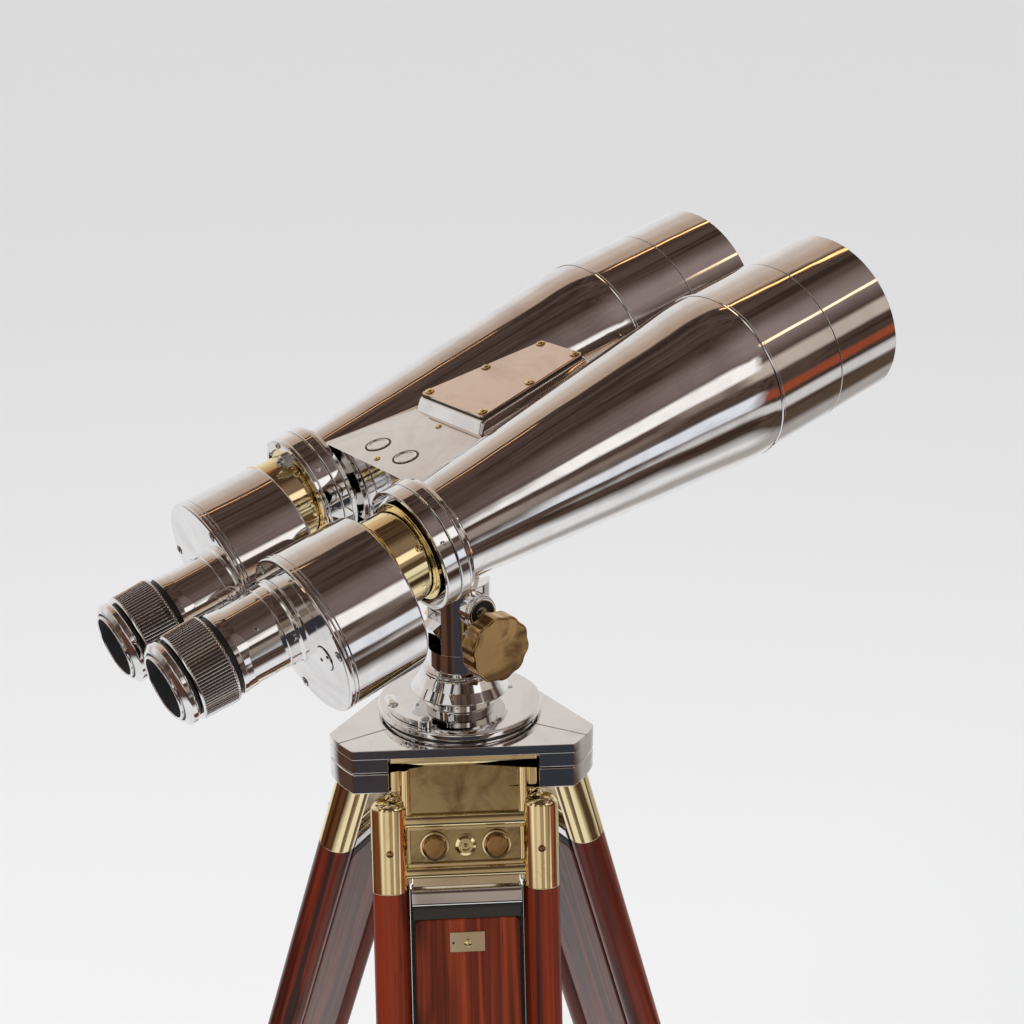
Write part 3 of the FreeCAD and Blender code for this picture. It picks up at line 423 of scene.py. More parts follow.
def joined(name, pieces):
    """Makes one piece of several that were drawn in the same frame."""
    bm = bmesh.new()
    materials = []
    for piece in pieces:
        own = list(piece.data.materials)
        lookup = []
        for material in own:
            if material not in materials:
                materials.append(material)
            lookup.append(materials.index(material))
        mesh = piece.data
        start = len(bm.faces)
        bm.from_mesh(mesh)
        store_normals(bm, start, mesh)
        for face in bm.faces[start:]:
            face.material_index = lookup[face.material_index] if lookup else 0
    home = pieces[0].matrix_world.copy()
    mesh = bpy.data.meshes.new(name)
    bm.to_mesh(mesh)
    bm.free()
    use_stored_normals(mesh)
    for piece in pieces:
        old = piece.data
        bpy.data.objects.remove(piece)
        bpy.data.meshes.remove(old)
    return object_from(name, mesh, home, materials)


def moved_mesh(piece, matrix):
    """Moves a piece's mesh inside its own frame, normals too."""
    normals = [matrix.to_3x3() @ loop.vector for loop in piece.data.corner_normals]
    piece.data.transform(matrix)
    piece.data.normals_split_custom_set([normal.normalized() for normal in normals])
    return piece


def aimed(x=0.0, y=0.0, z=0.0, towards="z", turn=0.0):
    """Matrix that stands an upright piece at a place (mm) and points its top the named way."""
    aims = {"z": Matrix.Identity(4), "-z": Matrix.Rotation(math.pi, 4, "X"),
            "x": Matrix.Rotation(math.pi / 2, 4, "Y"), "-x": Matrix.Rotation(-math.pi / 2, 4, "Y"),
            "-y": Matrix.Rotation(math.pi / 2, 4, "X"), "y": Matrix.Rotation(-math.pi / 2, 4, "X")}
    spin = Matrix.Rotation(math.radians(turn), 4, "Z")
    return Matrix.Translation(Vector((x, y, z)) * MM) @ aims[towards] @ spin


def screw(name, radius, height, home, material, where, slot_turn=0.0, socket=False):
    """A domed screw head with a slot, or a flat one with a round socket."""
    if socket:
        head = lathe(name, [(0, 0, 0), (radius, 0, 0), (radius, height, radius * 0.18),
                            (radius * 0.5, height, 0),
                            (radius * 0.45, height * 0.3, 0), (0, height * 0.3, 0)], home, [material],
                     upright=True, segments=36)
        return moved_mesh(head, where)
    half = radius * 0.13
    floor = height * 0.45
    bm = bmesh.new()
    rings = 5
    count = 32
    grid = []
    for ring in range(rings + 1):
        share = ring / rings
        reach = radius * math.cos(share * math.pi / 2)
        level = height * (0.35 + 0.65 * math.sin(share * math.pi / 2))
        grid.append([bm.verts.new(Vector((reach * math.cos(2 * math.pi * i / count),
                                          reach * math.sin(2 * math.pi * i / count), level)) * MM)
                     for i in range(count)] if ring < rings else [bm.verts.new(Vector((0, 0, level)) * MM)])
    foot = [bm.verts.new(Vector((radius * math.cos(2 * math.pi * i / count),
                                 radius * math.sin(2 * math.pi * i / count), 0)) * MM) for i in range(count)]
    bm.faces.new(foot[::-1])
    for i in range(count):
        k = (i + 1) % count
        bm.faces.new((foot[i], foot[k], grid[0][k], grid[0][i]))
        for ring in range(rings - 1):
            bm.faces.new((grid[ring][i], grid[ring][k], grid[ring + 1][k], grid[ring + 1][i]))
        bm.faces.new((grid[rings - 1][i], grid[rings - 1][k], grid[rings][0]))
    cutter = cutter_box((-radius * 1.2, radius * 1.2), (-half, half), (floor, height * 2), home)
    piece = finished(name, bm, home, [material], 0, cutters=[cutter])
    return moved_mesh(piece, where @ Matrix.Rotation(math.radians(slot_turn), 4, "Z"))


def cutter_box(x, y, z, home):
    bm = bmesh.new()
    bmesh.ops.create_cube(bm, size=1.0)
    for vert in bm.verts:
        vert.co = Vector((x[0] + (vert.co.x + 0.5) * (x[1] - x[0]), y[0] + (vert.co.y + 0.5) * (y[1] - y[0]),
                          z[0] + (vert.co.z + 0.5) * (z[1] - z[0]))) * MM
    mesh = bpy.data.meshes.new("cutter")
    bm.to_mesh(mesh)
    bm.free()
    cutter = bpy.data.objects.new("cutter", mesh)
    bpy.context.scene.collection.objects.link(cutter)
    cutter.matrix_world = home
    return cutter


def rod(name, radius, length, home, material, where, edge=0.4, segments=48):
    piece = lathe(name, [(0, 0, 0), (radius, 0, 0), (radius, length, edge), (0, length, 0)], home, [material],
                  upright=True, segments=segments)
    return moved_mesh(piece, where)


def lobed(name, radius, thickness, lobes, depth, home, materials, where, bevel=1.2, dish=0.0):
    """A knob whose rim has shallow scallops, with its flat face up."""
    count = lobes * 16
    path = []
    for index in range(count):
        turn = 2 * math.pi * index / count
        wave = (0.5 + 0.5 * math.cos(turn * lobes)) ** 1.3
        reach = radius - depth * wave
        path.append((reach * math.cos(turn), reach * math.sin(turn)))
    bm = bmesh.new()
    bottom = [bm.verts.new(Vector((p, q, 0)) * MM) for p, q in path]
    top = [bm.verts.new(Vector((p, q, thickness)) * MM) for p, q in path]
    for index in range(count):
        following = (index + 1) % count
        bm.faces.new((bottom[index], bottom[following], top[following], top[index]))
    bm.faces.new(bottom[::-1])
    bm.faces.new(top)
    if dish > 0:
        face = bm.faces[:][-1]
        bmesh.ops.inset_region(bm, faces=[face], thickness=radius * 0.16 * MM, depth=-dish * MM)
    piece = finished(name, bm, home, materials, bevel, segments=4)
    return moved_mesh(piece, where)


# ---- finishes: shared effects are node groups that put out masks, values and colours ----
def add_node(tree, kind, place=(0, 0), **settings):
    node = tree.nodes.new(kind)
    node.location = place
    for key, value in settings.items():
        if key in ("inputs",):
            for socket, amount in value.items():
                node.inputs[socket].default_value = amount
        else:
            setattr(node, key, value)
    return node


def new_group(name, inputs, outputs):
    group = bpy.data.node_groups.new(name, "ShaderNodeTree")
    for label, default in inputs:
        kind = "NodeSocketColor" if isinstance(default, tuple) else "NodeSocketFloat"
        socket = group.interface.new_socket(label, in_out="INPUT", socket_type=kind)
        socket.default_value = default
    for label, kind in outputs:
        group.interface.new_socket(label, in_out="OUTPUT", socket_type=kind)
    start = add_node(group, "NodeGroupInput", (-900, 0))
    end = add_node(group, "NodeGroupOutput", (900, 0))
    return group, start, end


def noise(tree, vector, scale, detail=2.0, roughness=0.5, distortion=0.0):
    node = add_node(tree, "ShaderNodeTexNoise", inputs={"Scale": scale, "Detail": detail,
                                                        "Roughness": roughness,
                                                        "Distortion": distortion})
    tree.links.new(vector, node.inputs["Vector"])
    return node.outputs["Fac"]


def maths(tree, operation, first, second=None, third=None, clamp=False):
    node = add_node(tree, "ShaderNodeMath", operation=operation, use_clamp=clamp)
    for index, value in enumerate((first, second, third)):
        if value is None:
            continue
        if isinstance(value, (int, float)):
            node.inputs[index].default_value = value
        else:
            tree.links.new(value, node.inputs[index])
    return node.outputs[0]


def span(tree, value, low, high, out_low=0.0, out_high=1.0):
    node = add_node(tree, "ShaderNodeMapRange", clamp=True)
    tree.links.new(value, node.inputs["Value"])
    for socket, amount in (("From Min", low), ("From Max", high), ("To Min", out_low), ("To Max", out_high)):
        node.inputs[socket].default_value = amount
    return node.outputs["Result"]


def blend_colours(tree, share, first, second):
    node = add_node(tree, "ShaderNodeMix", data_type="RGBA")
    for socket, value in ((node.inputs[0], share), (node.inputs[6], first), (node.inputs[7], second)):
        if isinstance(value, (tuple, float, int)):
            socket.default_value = value
        else:
            tree.links.new(value, socket)
    return node.outputs[2]


def stretched(tree, scale):
    """Object coordinates, in metres, scaled by three numbers."""
    coordinates = add_node(tree, "ShaderNodeTexCoord")
    mapping = add_node(tree, "ShaderNodeMapping", inputs={"Scale": scale})
    tree.links.new(coordinates.outputs["Object"], mapping.inputs["Vector"])
    return mapping.outputs["Vector"]


def polish_group():
    """Hand polish: slow waves in the surface, faint haze patches and hair scratches."""
    group, start, end = new_group(
        "hand polish",
        [("Waves", 0.5), ("Haze", 0.5), ("Scratches", 0.5), ("Roughness", 0.05)],
        [("Roughness", "NodeSocketFloat"), ("Height", "NodeSocketFloat"), ("Haze Mask", "NodeSocketFloat")])
    plain = stretched(group, (1, 1, 1))
    waves = noise(group, plain, 14.0, 2.0, 0.45)
    haze = span(group, noise(group, plain, 26.0, 5.0, 0.62, 0.8), 0.5, 0.78)
    smears = span(group, noise(group, stretched(group, (30, 9, 60)), 1.0, 4.0, 0.6, 0.6), 0.52, 0.8)
    hairs = span(group, noise(group, stretched(group, (900, 60, 120)), 1.0, 2.0, 0.7), 0.66, 0.8)
    crossing = span(group, noise(group, stretched(group, (70, 950, 240)), 1.0, 2.0, 0.7), 0.68, 0.8)
    scratches = maths(group, "MAXIMUM", hairs, crossing)
    mask = maths(group, "MAXIMUM", haze, smears)
    rough = maths(group, "MULTIPLY", mask, maths(group, "MULTIPLY", start.outputs["Haze"], 0.10))
    lines = maths(group, "MULTIPLY", scratches, maths(group, "MULTIPLY", start.outputs["Scratches"], 0.12))
    total = maths(group, "ADD", maths(group, "ADD", rough, lines), start.outputs["Roughness"], clamp=True)
    height = maths(group, "MULTIPLY", waves, start.outputs["Waves"])
    group.links.new(total, end.inputs["Roughness"])
    group.links.new(height, end.inputs["Height"])
    group.links.new(mask, end.inputs["Haze Mask"])
    return group


def tarnish_group():
    """Aged brass: brown patches that gather in cloudy spots, with a few darker specks."""
    group, start, end = new_group(
        "tarnish",
        [("Amount", 0.5), ("Bright", (0.9, 0.7, 0.35, 1)), ("Dull", (0.3, 0.18, 0.08, 1))],
        [("Color", "NodeSocketColor"), ("Mask", "NodeSocketFloat")])
    plain = stretched(group, (1, 1, 1))
    clouds = noise(group, plain, 38.0, 6.0, 0.62, 0.7)
    specks = span(group, noise(group, plain, 260.0, 3.0, 0.6), 0.68, 0.8)
    low = maths(group, "SUBTRACT", 0.72, maths(group, "MULTIPLY", start.outputs["Amount"], 0.5))
    patches = maths(group, "MULTIPLY", maths(group, "SUBTRACT", clouds, low), 4.0, clamp=True)
    mask = maths(group, "MAXIMUM", patches, maths(group, "MULTIPLY", specks, start.outputs["Amount"]),
                 clamp=True)
    colour = blend_colours(group, mask, start.outputs["Bright"], start.outputs["Dull"])
    group.links.new(colour, end.inputs["Color"])
    group.links.new(mask, end.inputs["Mask"])
    return group


def grain_group():
    """Long wood grain that runs along z, with growth bands, pores and a few knots."""
    group, start, end = new_group(
        "grain",
        [("Scale", 1.0), ("Light", (0.4, 0.1, 0.03, 1)), ("Dark", (0.08, 0.02, 0.01, 1)), ("Pores", 0.5)],
        [("Color", "NodeSocketColor"), ("Height", "NodeSocketFloat"), ("Pore Mask", "NodeSocketFloat")])
    coordinates = add_node(group, "ShaderNodeTexCoord")
    info = add_node(group, "ShaderNodeObjectInfo")
    shifted = add_node(group, "ShaderNodeVectorMath", operation="ADD")
    group.links.new(coordinates.outputs["Object"], shifted.inputs[0])
    spread = add_node(group, "ShaderNodeCombineXYZ")
    group.links.new(maths(group, "MULTIPLY", info.outputs["Random"], 3.0), spread.inputs[0])
    group.links.new(maths(group, "MULTIPLY", info.outputs["Random"], 1.7), spread.inputs[1])
    group.links.new(maths(group, "MULTIPLY", info.outputs["Random"], 5.0), spread.inputs[2])
    group.links.new(spread.outputs[0], shifted.inputs[1])
    sized = add_node(group, "ShaderNodeVectorMath", operation="SCALE")
    group.links.new(shifted.outputs[0], sized.inputs[0])
    group.links.new(start.outputs["Scale"], sized.inputs["Scale"])

    def squeezed(scale):
        mapping = add_node(group, "ShaderNodeMapping", inputs={"Scale": scale})
        group.links.new(sized.outputs[0], mapping.inputs["Vector"])
        return mapping.outputs["Vector"]

    knots = add_node(group, "ShaderNodeTexVoronoi", inputs={"Scale": 1.0, "Randomness": 1.0})
    group.links.new(squeezed((26, 26, 7.5)), knots.inputs["Vector"])
    knot = span(group, knots.outputs["Distance"], 0.05, 0.34, 1.0, 0.0)
    bend = noise(group, squeezed((9, 9, 1.6)), 1.0, 3.0, 0.5)
    bands = noise(group, squeezed((170, 170, 2.6)), 1.0, 3.0, 0.55, 0.4)
    streaks = noise(group, squeezed((520, 520, 9)), 1.0, 2.0, 0.6)
    wide = noise(group, squeezed((46, 46, 1.5)), 1.0, 2.0, 0.5, 0.5)
    ripple = maths(group, "SINE", maths(group, "ADD", maths(group, "MULTIPLY", wide, 26.0),
                                        maths(group, "MULTIPLY", knot, 5.0)))
    ripple = maths(group, "ADD", maths(group, "MULTIPLY", ripple, 0.16), 0.0)
    total = maths(group, "ADD", maths(group, "MULTIPLY", bands, 0.62),
                  maths(group, "MULTIPLY", streaks, 0.38))
    total = maths(group, "ADD", total, ripple)
    total = maths(group, "ADD", total, maths(group, "MULTIPLY", maths(group, "SUBTRACT", bend, 0.5), 0.5))
    total = maths(group, "SUBTRACT", total, maths(group, "MULTIPLY", knot, 0.22))
    tone = span(group, total, 0.24, 0.74)
    pores = span(group, noise(group, squeezed((1500, 1500, 34)), 1.0, 1.0, 0.5), 0.66, 0.74)
    pores = maths(group, "MULTIPLY", pores, start.outputs["Pores"])
    colour = blend_colours(group, tone, start.outputs["Dark"], start.outputs["Light"])
    colour = blend_colours(group, maths(group, "MULTIPLY", pores, 0.8), colour, start.outputs["Dark"])
    group.links.new(colour, end.inputs["Color"])
    group.links.new(maths(group, "SUBTRACT", maths(group, "MULTIPLY", tone, 0.3), pores),
                    end.inputs["Height"])
    group.links.new(pores, end.inputs["Pore Mask"])
    return group


HAND_POLISH = polish_group()
TARNISH = tarnish_group()
GRAIN = grain_group()


def new_material(name, shader_values):
    material = bpy.data.materials.new(name)
    material.use_nodes = True
    tree = material.node_tree
    shader = tree.nodes["Principled BSDF"]
    for socket, value in shader_values.items():
        shader.inputs[socket].default_value = value
    return material, tree, shader


def use_group(tree, group, **values):
    node = add_node(tree, "ShaderNodeGroup")
    node.node_tree = group
    for label, value in values.items():
        node.inputs[label.replace("_", " ")].default_value = value
    return node


def bump(tree, shader, height, strength, distance, below=None):
    node = add_node(tree, "ShaderNodeBump", inputs={"Strength": strength, "Distance": distance})
    tree.links.new(height, node.inputs["Height"])
    if below is not None:
        tree.links.new(below, node.inputs["Normal"])
    tree.links.new(node.outputs["Normal"], shader.inputs["Normal"])
    return node.outputs["Normal"]


def polished_metal(name, clean, dull, roughness, waves, haze, scratches):
    """Bright polished metal: the haze patches are a little darker and rougher."""
    material, tree, shader = new_material(name, {"Metallic": 1.0})
    polish = use_group(tree, HAND_POLISH, Waves=1.0, Haze=haze, Scratches=scratches, Roughness=roughness)
    colour = blend_colours(tree, polish.outputs["Haze Mask"], clean, dull)
    tree.links.new(colour, shader.inputs["Base Color"])
    tree.links.new(polish.outputs["Roughness"], shader.inputs["Roughness"])
    bump(tree, shader, polish.outputs["Height"], 1.0, waves)
    return material


def aged_metal(name, bright, dull, amount, roughness, extra, waves):
    """Brass that has gone brown in patches; the patches are rougher."""
    material, tree, shader = new_material(name, {"Metallic": 1.0})
    polish = use_group(tree, HAND_POLISH, Waves=1.0, Haze=0.8, Scratches=0.7, Roughness=roughness)
    patina = use_group(tree, TARNISH, Amount=amount, Bright=bright, Dull=dull)
    tree.links.new(patina.outputs["Color"], shader.inputs["Base Color"])
    rough = maths(tree, "ADD", polish.outputs["Roughness"], maths(tree, "MULTIPLY", patina.outputs["Mask"],
                                                                  extra),
                  clamp=True)
    tree.links.new(rough, shader.inputs["Roughness"])
    bump(tree, shader, polish.outputs["Height"], 1.0, waves)
    return material


def varnished_wood(name, light, dark, scale, coat=0.42):
    material, tree, shader = new_material(
        name, {"Coat Weight": coat, "Coat Roughness": 0.12, "Coat IOR": 1.38, "Specular IOR Level": 0.1})
    grain = use_group(tree, GRAIN, Scale=scale, Light=light, Dark=dark, Pores=0.8)
    tree.links.new(grain.outputs["Color"], shader.inputs["Base Color"])
    rough = maths(tree, "ADD", maths(tree, "MULTIPLY", grain.outputs["Pore Mask"], 0.25), 0.34)
    tree.links.new(rough, shader.inputs["Roughness"])
    bump(tree, shader, grain.outputs["Height"], 0.5, 0.00025)
    return material


def dark_finish(name, colour, roughness, bumps, scale, metallic=0.0):
    """Black paint, rubber and soot-black lining, also used as painted shade in gaps, seams and holes, with a
    fine grain and paler worn spots.
    """
    material, tree, shader = new_material(name, {"Metallic": metallic, "Specular IOR Level": 0.4})
    plain = stretched(tree, (1, 1, 1))
    grains = noise(tree, plain, scale, 3.0, 0.6)
    worn = span(tree, noise(tree, plain, 60.0, 4.0, 0.6), 0.62, 0.85)
    paler = tuple(min(1.0, part * 2.2 + 0.01) for part in colour[:3]) + (1,)
    tree.links.new(blend_colours(tree, worn, colour, paler), shader.inputs["Base Color"])
    tree.links.new(span(tree, grains, 0.3, 0.7, roughness - 0.06, roughness + 0.1),
                   shader.inputs["Roughness"])
    bump(tree, shader, grains, 0.4, bumps)
    return material


def coated_glass(name, tint):
    """Optical glass: clear, with a faint coating colour that shows more at a slant."""
    material, tree, shader = new_material(
        name, {"Transmission Weight": 1.0, "IOR": 1.52, "Coat Weight": 0.6, "Coat Roughness": 0.02})
    specks = span(tree, noise(tree, stretched(tree, (1, 1, 1)), 420.0, 2.0, 0.6), 0.66, 0.85, 0.01, 0.05)
    tree.links.new(specks, shader.inputs["Roughness"])
    slant = add_node(tree, "ShaderNodeLayerWeight", inputs={"Blend": 0.35})
    colour = blend_colours(tree, slant.outputs["Facing"], (0.93, 0.96, 1.0, 1), tint)
    tree.links.new(colour, shader.inputs["Base Color"])
    return material


NICKEL = polished_metal("polished castings", (0.87, 0.86, 0.85, 1), (0.72, 0.70, 0.70, 1), 0.045, 0.0007, 0.7,
                        0.6)
CHROME = polished_metal("polished chrome", (0.89, 0.885, 0.88, 1), (0.76, 0.75, 0.745, 1), 0.03, 0.0003, 0.5,
                        0.4)
DISC_METAL = polished_metal("polished disc", (0.86, 0.85, 0.84, 1), (0.76, 0.75, 0.745, 1), 0.035, 0.00008,
                            0.4, 0.4)
SATIN = polished_metal("satin steel", (0.62, 0.615, 0.61, 1), (0.45, 0.44, 0.43, 1), 0.16, 0.0001, 0.9, 0.9)
BRASS = aged_metal("polished brass", (0.96, 0.80, 0.46, 1), (0.72, 0.50, 0.20, 1), 0.30, 0.06, 0.10, 0.0004)
OLD_BRASS = aged_metal("old brass", (0.52, 0.33, 0.14, 1), (0.17, 0.085, 0.035, 1), 0.6, 0.14, 0.14, 0.0002)
DARK_BRASS = aged_metal("brown brass", (0.56, 0.43, 0.22, 1), (0.28, 0.18, 0.085, 1), 0.6, 0.2, 0.12, 0.0001)
PALE_BRASS = aged_metal("pale brass", (0.84, 0.72, 0.50, 1), (0.60, 0.48, 0.30, 1), 0.4, 0.12, 0.08, 0.0001)
ROSE_PLATE = polished_metal("rose engraved plate", (0.84, 0.66, 0.54, 1), (0.66, 0.49, 0.38, 1), 0.12, 0.0001,
                            0.8, 0.8)
WOOD = varnished_wood("varnished pole wood", (0.165, 0.020, 0.006, 1), (0.026, 0.0045, 0.0025, 1), 1.0)
BOARD_WOOD = varnished_wood("varnished board wood", (0.20, 0.030, 0.009, 1), (0.034, 0.006, 0.003, 1), 0.8)
# Black: paint on some parts, and painted shade in the joint seams, screw gaps, slots and holes.
BLACK = dark_finish("black groove paint", (0.012, 0.011, 0.011, 1), 0.42, 0.00004, 900.0)
SOOT = dark_finish("soot black lining", (0.010, 0.010, 0.011, 1), 0.62, 0.00005, 700.0)
# Dark finish: the own colour of the shoe's foot and the strip under the guide bar, and painted shade under
# the nameplate's edge and on the board's tongues.
DARK_PARTS_AND_SHADE = dark_finish("dark gasket", (0.022, 0.019, 0.017, 1), 0.5, 0.00005, 500.0)
COATED = coated_glass("coated objective glass", (0.55, 0.80, 0.72, 1))
EYE_GLASS = coated_glass("coated eye glass", (0.70, 0.62, 0.88, 1))


# ---- binocular casting ----
def barrel_radius(x):
    """Outside of the barrel at x: a straight taper that rounds over at the shoulder."""
    bend = BARREL_FRONT - SHOULDER
    bend_radius = FRONT_RADIUS * 0.932
    slope = (bend_radius - REAR_RADIUS) / (bend - BARREL_REAR)
    if x <= bend:
        return REAR_RADIUS + slope * (x - BARREL_REAR)
    share = (x - bend) / SHOULDER
    return (bend_radius * (1 + 2 * share) * (1 - share) ** 2 + slope * SHOULDER * share * (1 - share) ** 2
            + FRONT_RADIUS * share ** 2 * (3 - 2 * share))


def surface_strip(name, rows, home, materials, closed=False):
    """A skin through rows of (point, normal) in millimetres."""
    corners, faces, normals = [], [], []
    width = len(rows[0])
    for row in rows:
        corners.extend(Vector(point) * MM for point, _ in row)
    for r in range(len(rows) - 1):
        for c in range(width if closed else width - 1):
            k = (c + 1) % width
            quad = ((r, c), (r, k), (r + 1, k), (r + 1, c))
            faces.append([row * width + column for row, column in quad])
            normals.extend(rows[row][column][1] for row, column in quad)
    return object_from(name, mesh_with_normals(name, corners, faces, normals), home, materials)


def make_barrel(side_name, side):
    """Barrel skin, ring by ring, with a lip at each end."""
    stations = [BARREL_REAR + (BARREL_FRONT - SHOULDER - BARREL_REAR) * i / 24 for i in range(25)]
    stations += [BARREL_FRONT - SHOULDER + SHOULDER * (i + 1) / 24 for i in range(24)]
    rows = []
    segments = 160
    for x in stations:
        radius = barrel_radius(x)
        slope = (barrel_radius(x + 0.05) - barrel_radius(x - 0.05)) / 0.1 if x < BARREL_FRONT - 0.1 else 0.0
        length = math.hypot(1, slope)
        row = []
        for index in range(segments):
            turn = 2 * math.pi * index / segments
            out = Vector((0, -math.sin(turn), math.cos(turn)))
            row.append((Vector((x, side * HALF_SPACING, AXIS_RISE)) + out * radius,
                        (out + Vector((-slope, 0, 0))) / length))
        rows.append(row)
    skin = surface_strip(side_name + "_barrel_skin", rows, binocular_frame, [NICKEL], closed=True)
    y = side * HALF_SPACING
    inner = 30.0
    mouth = lathe("inside", [(BARREL_REAR, inner, 0), (BARREL_REAR, REAR_RADIUS, 0),
                             (BARREL_REAR + 1, REAR_RADIUS, 0),
                             (BARREL_FRONT - 1, FRONT_RADIUS - 4, 0),
                             (BARREL_FRONT - 1, FRONT_RADIUS - 5.5, 0),
                             (BARREL_REAR + 1, inner, 0)], binocular_frame, [SOOT], y, AXIS_RISE, segments=64)
    return joined(side_name + "_barrel", [skin, mouth])


def bridge_edge(x, lift=0.0):
    """Distance from the middle to the barrel's flank at a height above the barrels' axes."""
    radius = barrel_radius(x) + lift
    level = BRIDGE_TOP + lift
    if radius <= level:
        return HALF_SPACING
    return HALF_SPACING - math.sqrt(radius ** 2 - level ** 2)


def make_bridge():
    """Flat top and bottom between the barrels, with a hollow fillet along each barrel."""
    rows_top, pieces = [], []
    stations = [BARREL_REAR + (BRIDGE_FRONT - BARREL_REAR) * i / 60 for i in range(61)]
    steps = 8
    for x in stations:
        row = []
        centre_y = bridge_edge(x, BRIDGE_FILLET)
        centre = Vector((0, -centre_y, BRIDGE_TOP + BRIDGE_FILLET))
        barrel = Vector((0, -HALF_SPACING, 0))
        towards = (barrel - centre).normalized()
        start = math.atan2(towards.z, towards.y)
        stop = -math.pi / 2
        if start > 0:
            start -= 2 * math.pi
        for step in range(steps + 1):
            turn = start + (stop - start) * step / steps
            out = Vector((0, math.cos(turn), math.sin(turn)))
            point = centre + out * BRIDGE_FILLET
            row.append((Vector((x, point.y, AXIS_RISE + point.z)), -out))
        for step in range(1, 8):
            share = step / 8
            row.append((Vector((x, -centre_y + 2 * centre_y * share, AXIS_RISE + BRIDGE_TOP)),
                        Vector((0, 0, 1))))
        for step in range(steps, -1, -1):
            point, normal = row[step]
            row.append((Vector((x, -point.y, point.z)), Vector((0, -normal.y, normal.z))))
        rows_top.append(row)
    pieces.append(surface_strip("bridge_skin", rows_top, binocular_frame, [NICKEL]))
    rows_low = [[(Vector((point.x, point.y, 2 * AXIS_RISE - point.z)),
                  Vector((normal.x, normal.y, -normal.z)))
                 for point, normal in reversed(row)] for row in rows_top]
    pieces.append(surface_strip("bridge_under", rows_low, binocular_frame, [NICKEL]))
    for x, way in ((BARREL_REAR + 0.6, -1), (BRIDGE_FRONT - 0.3, 1)):
        half = HALF_SPACING - 30
        face = [[(Vector((x, -half, AXIS_RISE + BRIDGE_TOP)), Vector((way, 0, 0))),
                 (Vector((x, half, AXIS_RISE + BRIDGE_TOP)), Vector((way, 0, 0)))],
                [(Vector((x, -half, AXIS_RISE - BRIDGE_TOP)), Vector((way, 0, 0))),
                 (Vector((x, half, AXIS_RISE - BRIDGE_TOP)), Vector((way, 0, 0)))]]
        if way > 0:
            face = [row[::-1] for row in face]
        pieces.append(surface_strip("bridge_end", face, binocular_frame, [NICKEL]))
    return joined("bridge", pieces)


def boss_outline(margin, corner=3.0):
    return [(BOSS_REAR + margin, -BOSS_REAR_HALF + margin, corner),
            (BOSS_FRONT - margin, -BOSS_FRONT_HALF + margin, corner),
            (BOSS_FRONT - margin, BOSS_FRONT_HALF - margin, corner),
            (BOSS_REAR + margin, BOSS_REAR_HALF - margin, corner)]


def make_boss_body(low, high, base, top_margin):
    """The raised boss: its rear face slopes, the others stand nearly upright."""
    bm = bmesh.new()
    lower = boss_outline(0)
    upper = boss_outline(top_margin)
    rear_slope = 5.0
    lower = [(p - (rear_slope if p < BOSS_FRONT / 2 else 0), q, r) for p, q, r in lower]
    foot = [bm.verts.new(Vector((p.x, p.y, low)) * MM) for p in outline_path(lower, 5)]
    head = [bm.verts.new(Vector((p.x, p.y, high)) * MM) for p in outline_path(upper, 5)]
    bm.faces.new(foot)
    bm.faces.new(head[::-1])
    for index in range(len(foot)):
        following = (index + 1) % len(foot)
        bm.faces.new((foot[index], head[index], head[following], foot[following]))
    bmesh.ops.recalc_face_normals(bm, faces=bm.faces)
    return finished(base, bm, binocular_frame, [NICKEL], 2.0, segments=5)


TOP_LEVEL = AXIS_RISE + BRIDGE_TOP
boss = make_boss_body(TOP_LEVEL - 3, TOP_LEVEL + BOSS_HEIGHT - 1.4, "nameplate_boss", 2.0)
settle(boss, "binocular")
# A dark slab under the nameplate's edge: painted shadow standing for the gap between plate and boss.
dark_band = slab("nameplate_gasket", boss_outline(PLATE_MARGIN - 0.4), TOP_LEVEL + BOSS_HEIGHT - 1.6,
              TOP_LEVEL + BOSS_HEIGHT, binocular_frame, [DARK_PARTS_AND_SHADE], bevel=0.3)
settle(dark_band, "binocular")
plate = slab("nameplate_face", boss_outline(PLATE_MARGIN), TOP_LEVEL + BOSS_HEIGHT,
             TOP_LEVEL + BOSS_HEIGHT + PLATE_THICKNESS, binocular_frame, [ROSE_PLATE], bevel=0.35)
settle(plate, "binocular", ["nameplate"])

bridge = make_bridge()
settle(bridge, "binocular", ["binocular_body"])
for side_name, side in SIDES:
    barrel = make_barrel(side_name, side)
    settle(barrel, "binocular")


